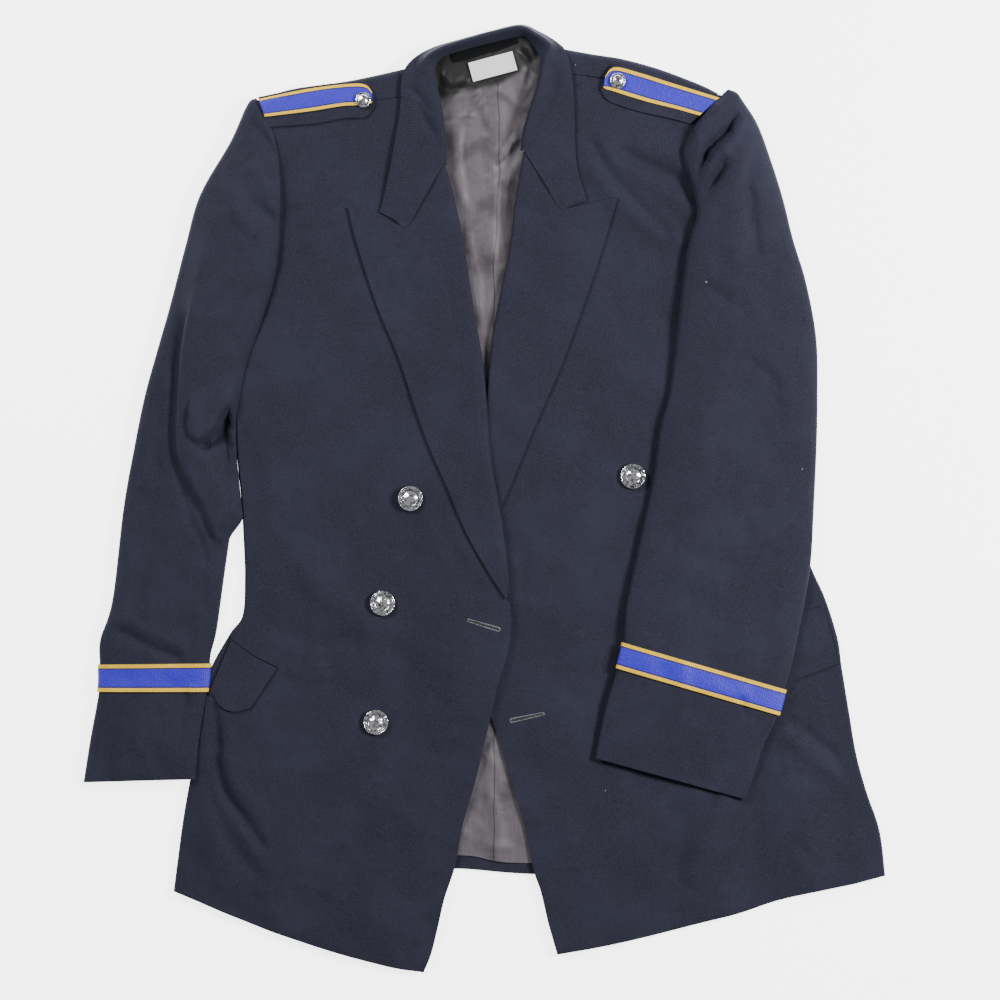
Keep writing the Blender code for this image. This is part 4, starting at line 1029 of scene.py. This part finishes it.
def button(node, place, diameter, top_of, silver):
    """a domed button with a raised rim and ring, as stamped from sheet metal; it sits on top_of"""
    radius = diameter / 2 * MM
    centre = (Vector((place.x, place.y, seat_of(place, diameter, top_of))) + TO_MIDDLE) * MM
    bpy.ops.object.select_all(action="DESELECT")
    bpy.ops.mesh.primitive_cylinder_add(vertices=72, radius=radius, depth=0.2 * radius,
                                        location=centre + Vector((0, 0, 0.1 * radius)))
    made = bpy.context.active_object
    made.name = node + "_metal"
    bpy.ops.object.mode_set(mode="EDIT")
    select_faces(made, lambda middle, normal: normal.z < -0.9)
    bpy.ops.transform.resize(value=(0.86, 0.86, 1.0))
    select_faces(made, lambda middle, normal: normal.z > 0.9)
    bpy.ops.mesh.extrude_region_move(TRANSFORM_OT_translate={"value": (0, 0, 0.08 * radius)})
    bpy.ops.transform.resize(value=(0.95, 0.95, 1.0))
    for inward, upward in BUTTON_STEPS:
        bpy.ops.mesh.inset(thickness=inward * radius)
        bpy.ops.transform.translate(value=(0, 0, upward * radius))
    bpy.ops.object.mode_set(mode="OBJECT")
    bevel = made.modifiers.new("Rounding", "BEVEL")
    bevel.width = 0.022 * radius
    bevel.segments = 2
    bevel.limit_method = "ANGLE"
    bevel.angle_limit = radians(28)
    bpy.ops.object.modifier_apply(modifier=bevel.name)
    bpy.ops.object.shade_smooth_by_angle(angle=radians(50))
    apply_place(made)
    made.data.materials.append(silver)
    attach(made, "root")
    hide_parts(node)


def seat_of(place, diameter, top_of):
    """how high a button has to sit to clear the cloth under it"""
    angles = np.linspace(0, 2 * pi, 17)
    reach = diameter / 2 * np.array([[0.0], [0.5], [1.0]])
    beneath = top_of(place.x + reach * np.cos(angles), place.y + reach * np.sin(angles))
    return float(beneath.max()) + BUTTON_SEAT


def buttonhole(name, start, eye, top_of, thread, dark):
    """a keyhole worked in grey thread, with the slit inside it, whose near-black colour is painted shade in
    the opening
    """
    start, eye = Vector((*start, 0)), Vector((*eye, 0))
    run = (eye - start).length * MM
    angle = (eye - start).to_track_quat("X", "Z").to_euler()
    for part, finish in (("thread", thread), ("slit", dark)):
        bpy.ops.object.select_all(action="DESELECT")
        if part == "thread":
            bpy.ops.mesh.primitive_torus_add(major_segments=72, minor_segments=10, major_radius=1.1 * MM,
                                             minor_radius=0.42 * MM)
        else:
            bpy.ops.mesh.primitive_circle_add(vertices=40, radius=0.9 * MM, fill_type="NGON")
        made = bpy.context.active_object
        made.name = name + "_" + part
        bpy.ops.object.mode_set(mode="EDIT")
        select_points(made, lambda p: p.x > 0)
        bpy.ops.transform.resize(value=(1.3, 1.5, 1.0), center_override=(0, 0, 0))
        bpy.ops.transform.translate(value=(run / 2, 0, 0))
        select_points(made, lambda p: p.x < run / 4)
        bpy.ops.transform.translate(value=(-run / 2, 0, 0))
        bpy.ops.mesh.select_all(action="SELECT")
        bpy.ops.mesh.subdivide(number_cuts=2 if part == "thread" else 1)
        bpy.ops.object.mode_set(mode="OBJECT")
        made.rotation_euler = angle
        made.location = ((start + eye) / 2 + TO_MIDDLE) * MM
        apply_place(made)
        points = np.array([vert.co for vert in made.data.vertices])
        lift = 0.1 if part == "thread" else 0.16
        beneath = top_of(points[:, 0] / MM - TO_MIDDLE.x, points[:, 1] / MM - TO_MIDDLE.y) + lift
        points[:, 2] = points[:, 2] * 0.5 + beneath * MM
        made.data.vertices.foreach_set("co", points.ravel())
        made.data.update()
        only(made)
        bpy.ops.object.shade_smooth()
        made.data.materials.append(finish)
        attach(made, "root")


def linear(code):
    """a hex colour as it looks on a screen, in the linear values that a shader takes"""
    parts = [int(code[k:k + 2], 16) / 255 for k in (0, 2, 4)]
    return [part / 12.92 if part <= 0.04045 else ((part + 0.055) / 1.055) ** 2.4 for part in parts] + [1.0]


def feed(finish, node, inputs):
    """gives a node its inputs, each a number, a hex colour or another node's output"""
    for key, value in inputs.items():
        if isinstance(value, bpy.types.NodeSocket):
            finish.node_tree.links.new(value, node.inputs[key])
        else:
            node.inputs[key].default_value = linear(value) if isinstance(value, str) else value


def add(finish, kind, inputs=(), output=0, **settings):
    """adds one node to a material and gives the output that is used; a list of inputs is taken in order"""
    made = finish.node_tree.nodes.new("ShaderNode" + kind)
    for key, value in settings.items():
        setattr(made, key, value)
    feed(finish, made, inputs if isinstance(inputs, dict) else dict(enumerate(inputs)))
    return made.outputs[output]


def new_finish(name, **values):
    """a new material, its shader with the values that are the same all over it, and add for its nodes"""
    finish = bpy.data.materials.new(name)
    finish.use_nodes = True
    shader = finish.node_tree.nodes["Principled BSDF"]
    feed(finish, shader, {key.replace("_", " "): value for key, value in values.items()})
    return finish, shader, partial(add, finish)


def layered(put, colour, layers):
    """colours laid over the first one, each by its share"""
    for share, over in layers:
        colour = put("Mix", {0: share, 6: colour, 7: over}, 2, data_type="RGBA")
    return colour


def wool_twill():
    """Barathea, a close wool twill, dyed navy and pressed: very dark and dull, with a faint nap that lifts
    the edges. Its diagonal is 0.8 mm in the cloth and 1.6 mm here, so that it shows. It has soft paler clouds
    of about 70 mm, darker blotches of 18 mm, and a few specks of lint of 1 mm."""
    finish, shader, put = new_finish("navy_wool_twill", Roughness=0.88, Specular_IOR_Level=0.25,
                                     Sheen_Weight=0.14, Sheen_Roughness=0.45, Sheen_Tint="8f93b8")
    place = put("TexCoord", output="Object")
    diagonal = put("TexWave", {"Vector": put("UVMap", uv_map="Cloth"), "Scale": 278.0, "Distortion": 2.6,
                               "Detail": 2.0, "Detail Scale": 3.0}, "Fac", bands_direction="DIAGONAL")
    fibres, clouds, blotches = [
        put("TexNoise", {"Vector": place, "Scale": scale, "Detail": detail, "Roughness": rough})
        for scale, detail, rough in ((950.0, 2.0, 0.7), (14.0, 5.0, 0.62), (55.0, 3.0, 0.6))]
    threads = put("Mix", {0: 0.83, 2: diagonal, 3: fibres})
    sway = put("TexNoise", {"Vector": place, "Scale": 260.0}, "Color")
    sway = put("VectorMath", {0: sway, "Scale": 0.006}, operation="SCALE")
    curled = put("VectorMath", [place, sway], operation="ADD")
    lint = put("TexVoronoi", {"Vector": curled, "Scale": 34.0}).node.outputs
    speck = put("MapRange", [lint["Distance"], 0.014, 0.026, 1.0, 0.0], **SMOOTH)
    chosen = put("MapRange", [put("SeparateColor", [lint["Color"]]), 0.72, 0.8, 0.0, 0.5], **SMOOTH)
    colour = layered(put, WOOL_DEEP, [
        (put("MapRange", [threads, 0.3, 0.72, 0.0, 1.0], **SMOOTH), WOOL_LIGHT),
        (put("MapRange", [clouds, 0.4, 0.68, 0.0, 0.4], **SMOOTH), WOOL_FADED),
        (put("MapRange", [blotches, 0.52, 0.75, 0.0, 0.3], **SMOOTH), WOOL_DEEP),
        (put("Math", [speck, chosen], operation="MULTIPLY"), LINT)])
    nap = put("Bump", {"Height": threads, "Distance": 0.3 * MM, "Strength": 0.5})
    feed(finish, shader, {"Base Color": colour, "Normal": nap})
    return finish


def viscose_satin():
    """Viscose satin, woven smooth for linings: soft grey with a violet cast, with a silky shine along its
    folds and fine lengthwise threads. The threads are drawn 1.2 mm apart, about ten real ones. The smudges
    and the small creases are about 33 mm. The dark band in the neck is painted shade under the collar."""
    finish, shader, put = new_finish("grey_viscose_satin", Roughness=0.5, Anisotropic=0.4,
                                     Specular_IOR_Level=0.3)
    place = put("TexCoord", output="Object")
    lengthwise = put("Mapping", {"Vector": put("UVMap", uv_map="Cloth"), "Scale": (1.0, 0.06, 1.0)})
    threads = put("TexNoise", {"Vector": lengthwise, "Scale": 830.0, "Detail": 2.0})
    smudges = put("TexNoise", {"Vector": place, "Scale": 30.0, "Detail": 4.0})
    wavy = put("Math", [smudges, 0.008], operation="MULTIPLY")
    x, y = put("SeparateXYZ", [place]).node.outputs[:2]
    # The painted shade under the collar, a dark band in the neck, lies above two slanted lines
    limits = [put("Math", [put("Math", [x, -slant, y], operation="MULTIPLY_ADD"), height],
                  operation="SUBTRACT") for slant, height in NECK_SHADE_BAND]
    in_painted_shade = put("Math", [put("Math", limits, operation="MINIMUM"), wavy], operation="ADD")
    # The centre seam bends a little on its way up to the neck
    from_middle = put("Math", [y, SEAM_BEND_Y], operation="SUBTRACT")
    bend = put("Math", [from_middle, from_middle], operation="MULTIPLY")
    bend = put("Math", [put("Math", [bend, 0.5], operation="MULTIPLY"), 5 * MM], operation="MINIMUM")
    off_seam = put("Math", [x, put("Math", [bend, wavy], operation="ADD")], operation="ADD")
    off_seam = put("Math", [put("Math", [off_seam, SEAM_X], operation="SUBTRACT")], operation="ABSOLUTE")
    # Over the threads and smudges: the seam's dark line, and the painted shade under the collar
    colour = layered(put, SATIN_DEEP, [
        (threads, SATIN_LIGHT),
        (put("MapRange", [smudges, 0.44, 0.66, 0.0, 0.75], **SMOOTH), SATIN_SMUDGE),
        (put("MapRange", [off_seam, 0.1 * MM, 0.8 * MM, 0.7, 0.0], **SMOOTH), SATIN_SEAM_AND_SHADE),
        (put("MapRange", [in_painted_shade, 1 * MM, 8 * MM, 0.0, 0.97], **SMOOTH), SATIN_SEAM_AND_SHADE)])
    creases = put("TexNoise", {"Vector": place, "Scale": 30.0, "Detail": 2.5, "Distortion": 0.8})
    relief_of = put("Math", [threads, 0.02, creases], operation="MULTIPLY_ADD")
    bump = put("Bump", {"Height": relief_of, "Distance": 5 * MM, "Strength": 0.5})
    feed(finish, shader, {"Base Color": colour, "Normal": bump})
    return finish


def woven_braid():
    """Uniform braid woven in ribs: royal blue rayon between two edges of gilt thread, with a dark line beside
    each. The ribs are 1 mm in the braid and 2 mm here, so that they show."""
    finish, shader, put = new_finish("ribbed_rayon_and_gilt_braid", Roughness=0.55, Sheen_Weight=0.08)
    weave = put("UVMap", uv_map="Cloth")
    half = BRAID_WIDTH / 2
    off_middle = put("Math", [put("SeparateXYZ", [weave], "Y"), half * MM], operation="SUBTRACT")
    off_middle = put("Math", [off_middle], operation="ABSOLUTE")
    gilt, line_from, line_to, rim = [
        put("MapRange", [off_middle, edge * MM, (edge + 0.4) * MM, before, after], **SMOOTH)
        for edge, before, after in [(half - inward, *shares) for inward, *shares in BRAID_STRIPES]]
    line = put("Math", [line_from, line_to], operation="MULTIPLY")
    ribs = put("TexWave", {"Vector": weave, "Scale": 157.0, "Distortion": 0.6, "Detail": 1.0}, "Fac",
               bands_direction="X")
    grain = put("TexNoise", {"Vector": weave, "Scale": 500.0, "Detail": 2.0})
    shade = put("Mix", {0: 0.8, 2: ribs, 3: grain})
    blue = layered(put, BRAID_BLUE_DEEP, [(shade, BRAID_BLUE)])
    gold = layered(put, BRAID_GOLD_DEEP, [(shade, BRAID_GOLD)])
    dark = put("Math", [line, rim], operation="MAXIMUM")
    colour = layered(put, blue, [(gilt, gold), (dark, WOOL_DEEP)])
    height = put("Math", [line, -1.5, shade], operation="MULTIPLY_ADD")
    feed(finish, shader, {
        "Base Color": colour, "Metallic": put("Math", [gilt, 0.12], operation="MULTIPLY"),
        "Normal": put("Bump", {"Height": height, "Distance": 0.6 * MM, "Strength": 0.8})})
    return finish


def polished_silver():
    """Silver-coloured metal, stamped and polished: bright, with a rippled face that breaks up what it mirrors
    and darker spots that are partly a slight rubbing of the metal and partly a painted reflection of the
    dark cloth around it. The ripples and the spots are 2 to 3 mm."""
    finish, shader, put = new_finish("polished_silver_plate", Metallic=1.0, Roughness=0.24)
    place = put("TexCoord", output="Object")
    wear_and_reflection = put("TexNoise", {"Vector": place, "Scale": 420.0, "Detail": 4.0})
    ripple = put("TexNoise", {"Vector": place, "Scale": 300.0, "Detail": 2.0})
    # Darker spots, partly rubbed metal and partly a painted reflection of the dark cloth
    worn_and_reflected_dark = put("MapRange", [wear_and_reflection, 0.46, 0.66, 0.0, 1.0], **SMOOTH)
    feed(finish, shader, {
        "Base Color": layered(put, SILVER_BRIGHT, [(worn_and_reflected_dark, SILVER_WORN_AND_REFLECTED_DARK)]),
        "Roughness": put("MapRange", [wear_and_reflection, 0.35, 0.75, 0.08, 0.3], **SMOOTH),
        "Normal": put("Bump", {"Height": ripple, "Distance": 1.2 * MM, "Strength": 0.6})})
    return finish


def plain_weave(name, deep, light, scale):
    """a small woven piece: threads across and along, drawn about three times as coarse as they are, at
    0.7 mm in the label and 1 mm in the tape"""
    finish, shader, put = new_finish(name, Roughness=0.8, Specular_IOR_Level=0.15)
    weave = put("UVMap", uv_map="Cloth")
    wefts, warps = [put("TexWave", {"Vector": weave, "Scale": scale, "Distortion": 0.8}, "Fac",
                        bands_direction=way) for way in ("X", "Y")]
    threads = put("Mix", {0: 0.5, 2: wefts, 3: warps})
    feed(finish, shader, {
        "Base Color": layered(put, deep, [(threads, light)]),
        "Normal": put("Bump", {"Height": threads, "Distance": 0.4 * MM, "Strength": 0.7})})
    return finish


def silk_twist(name, deep, light):
    """worked buttonhole thread: silk twist in close loops of about 1 mm"""
    finish, shader, put = new_finish(name, Roughness=0.6)
    loops = put("TexNoise", {"Vector": put("TexCoord", output="Object"), "Scale": 900.0, "Detail": 2.0})
    share = put("MapRange", [loops, 0.35, 0.65, 0.0, 1.0], **SMOOTH)
    feed(finish, shader, {
        "Base Color": layered(put, deep, [(share, light)]),
        "Normal": put("Bump", {"Height": loops, "Distance": 0.6 * MM, "Strength": 0.9})})
    return finish


def light_table():
    """matt white acrylic, lit a little from within: even and very pale"""
    finish, shader, put = new_finish("white_light_table", Roughness=0.9, Emission_Strength=3.6,
                                     Emission_Color="ffffff")
    grain = put("TexNoise", {"Vector": put("TexCoord", output="Object"), "Scale": 9.0, "Detail": 2.0})
    feed(finish, shader, {"Base Color": layered(put, "f4f4f4", [(grain, "fbfbfb")])})
    return finish


def studio():
    """a pale floor, soft light from both sides, and the camera straight above, as in the photograph"""
    bpy.ops.object.select_all(action="DESELECT")
    bpy.ops.mesh.primitive_plane_add(size=6.0, location=(0, 0, FLOOR_LEVEL * MM))
    floor = bpy.context.active_object
    floor.name = "floor"
    floor.data.materials.append(light_table())

    for name, place, size, power in LAMPS:
        lamp = bpy.data.lights.new(name, "AREA")
        lamp.shape = "DISK"
        lamp.size = size
        lamp.energy = power
        made = bpy.data.objects.new(name, lamp)
        made.location = place
        made.rotation_euler = (-Vector(place)).to_track_quat("-Z", "Y").to_euler()
        bpy.context.scene.collection.objects.link(made)

    world = bpy.data.worlds.new("studio")
    world.use_nodes = True
    world.node_tree.nodes["Background"].inputs["Color"].default_value = linear("ffffff")
    world.node_tree.nodes["Background"].inputs["Strength"].default_value = WORLD_LIGHT
    bpy.context.scene.world = world

    lens = bpy.data.cameras.new("camera")
    lens.sensor_width = 36.0
    lens.lens = 36.0 * CAMERA_HEIGHT / PHOTO_WIDTH
    lens.clip_end = 20.0
    camera = bpy.data.objects.new("camera", lens)
    camera.location = (*PHOTO_MIDDLE, CAMERA_HEIGHT)
    bpy.context.scene.collection.objects.link(camera)
    bpy.context.scene.camera = camera


def dress():
    """the whole jacket, from the back up to the buttons"""
    studio()
    wool, satin, braid, silver = wool_twill(), viscose_satin(), woven_braid(), polished_silver()
    woven = plain_weave("dark_woven_label", "030405", "0b0c0e", 420.0)
    cotton = plain_weave("white_cotton_tape", "c9c9c9", "f4f4f2", 300.0)
    back(wool)
    sides(wool)
    lining(satin)
    fronts(wool)
    lapel("right", ROLL_RIGHT, LAPEL_EDGE_RIGHT, GORGE_RIGHT, right_front_top, -1, wool)
    lapel("left", ROLL_LEFT, LAPEL_EDGE_LEFT, GORGE_LEFT, body_top, 1, wool)
    collar(wool)
    sleeve("right", SLEEVE_RIGHT, right_sleeve_floor, SLEEVE_FOLDS_RIGHT, CUFF_BRAID_RIGHT, wool, braid)
    sleeve("left", SLEEVE_LEFT, left_sleeve_floor, SLEEVE_FOLDS_LEFT, CUFF_BRAID_LEFT, wool, braid)
    straps(wool, braid)
    pockets(wool)
    labels(woven, cotton)
    for side, places, top_of in (("right", BUTTONS_RIGHT, right_front_top), ("left", BUTTONS_LEFT, body_top)):
        for number, place in enumerate(places, 1):
            button("button_%s_%d" % (side, number), place, FRONT_BUTTON, top_of, silver)
    for side, place in (("right", STRAP_BUTTON_RIGHT), ("left", STRAP_BUTTON_LEFT)):
        button("strap_button_" + side, place, STRAP_BUTTON, strap_braid_height, silver)
    grey = silk_twist("grey_silk_twist", "303136", "707176")
    # The slit's near-black colour is painted shade in the opening of the buttonhole
    dark = silk_twist("slit_painted_shade", "07070c", "101018")
    for number, (first, eye) in enumerate(BUTTONHOLES, 1):
        top_of = right_front_top if number == 1 else body_top
        buttonhole("buttonhole_%d" % number, first, eye, top_of, grey, dark)


dress()
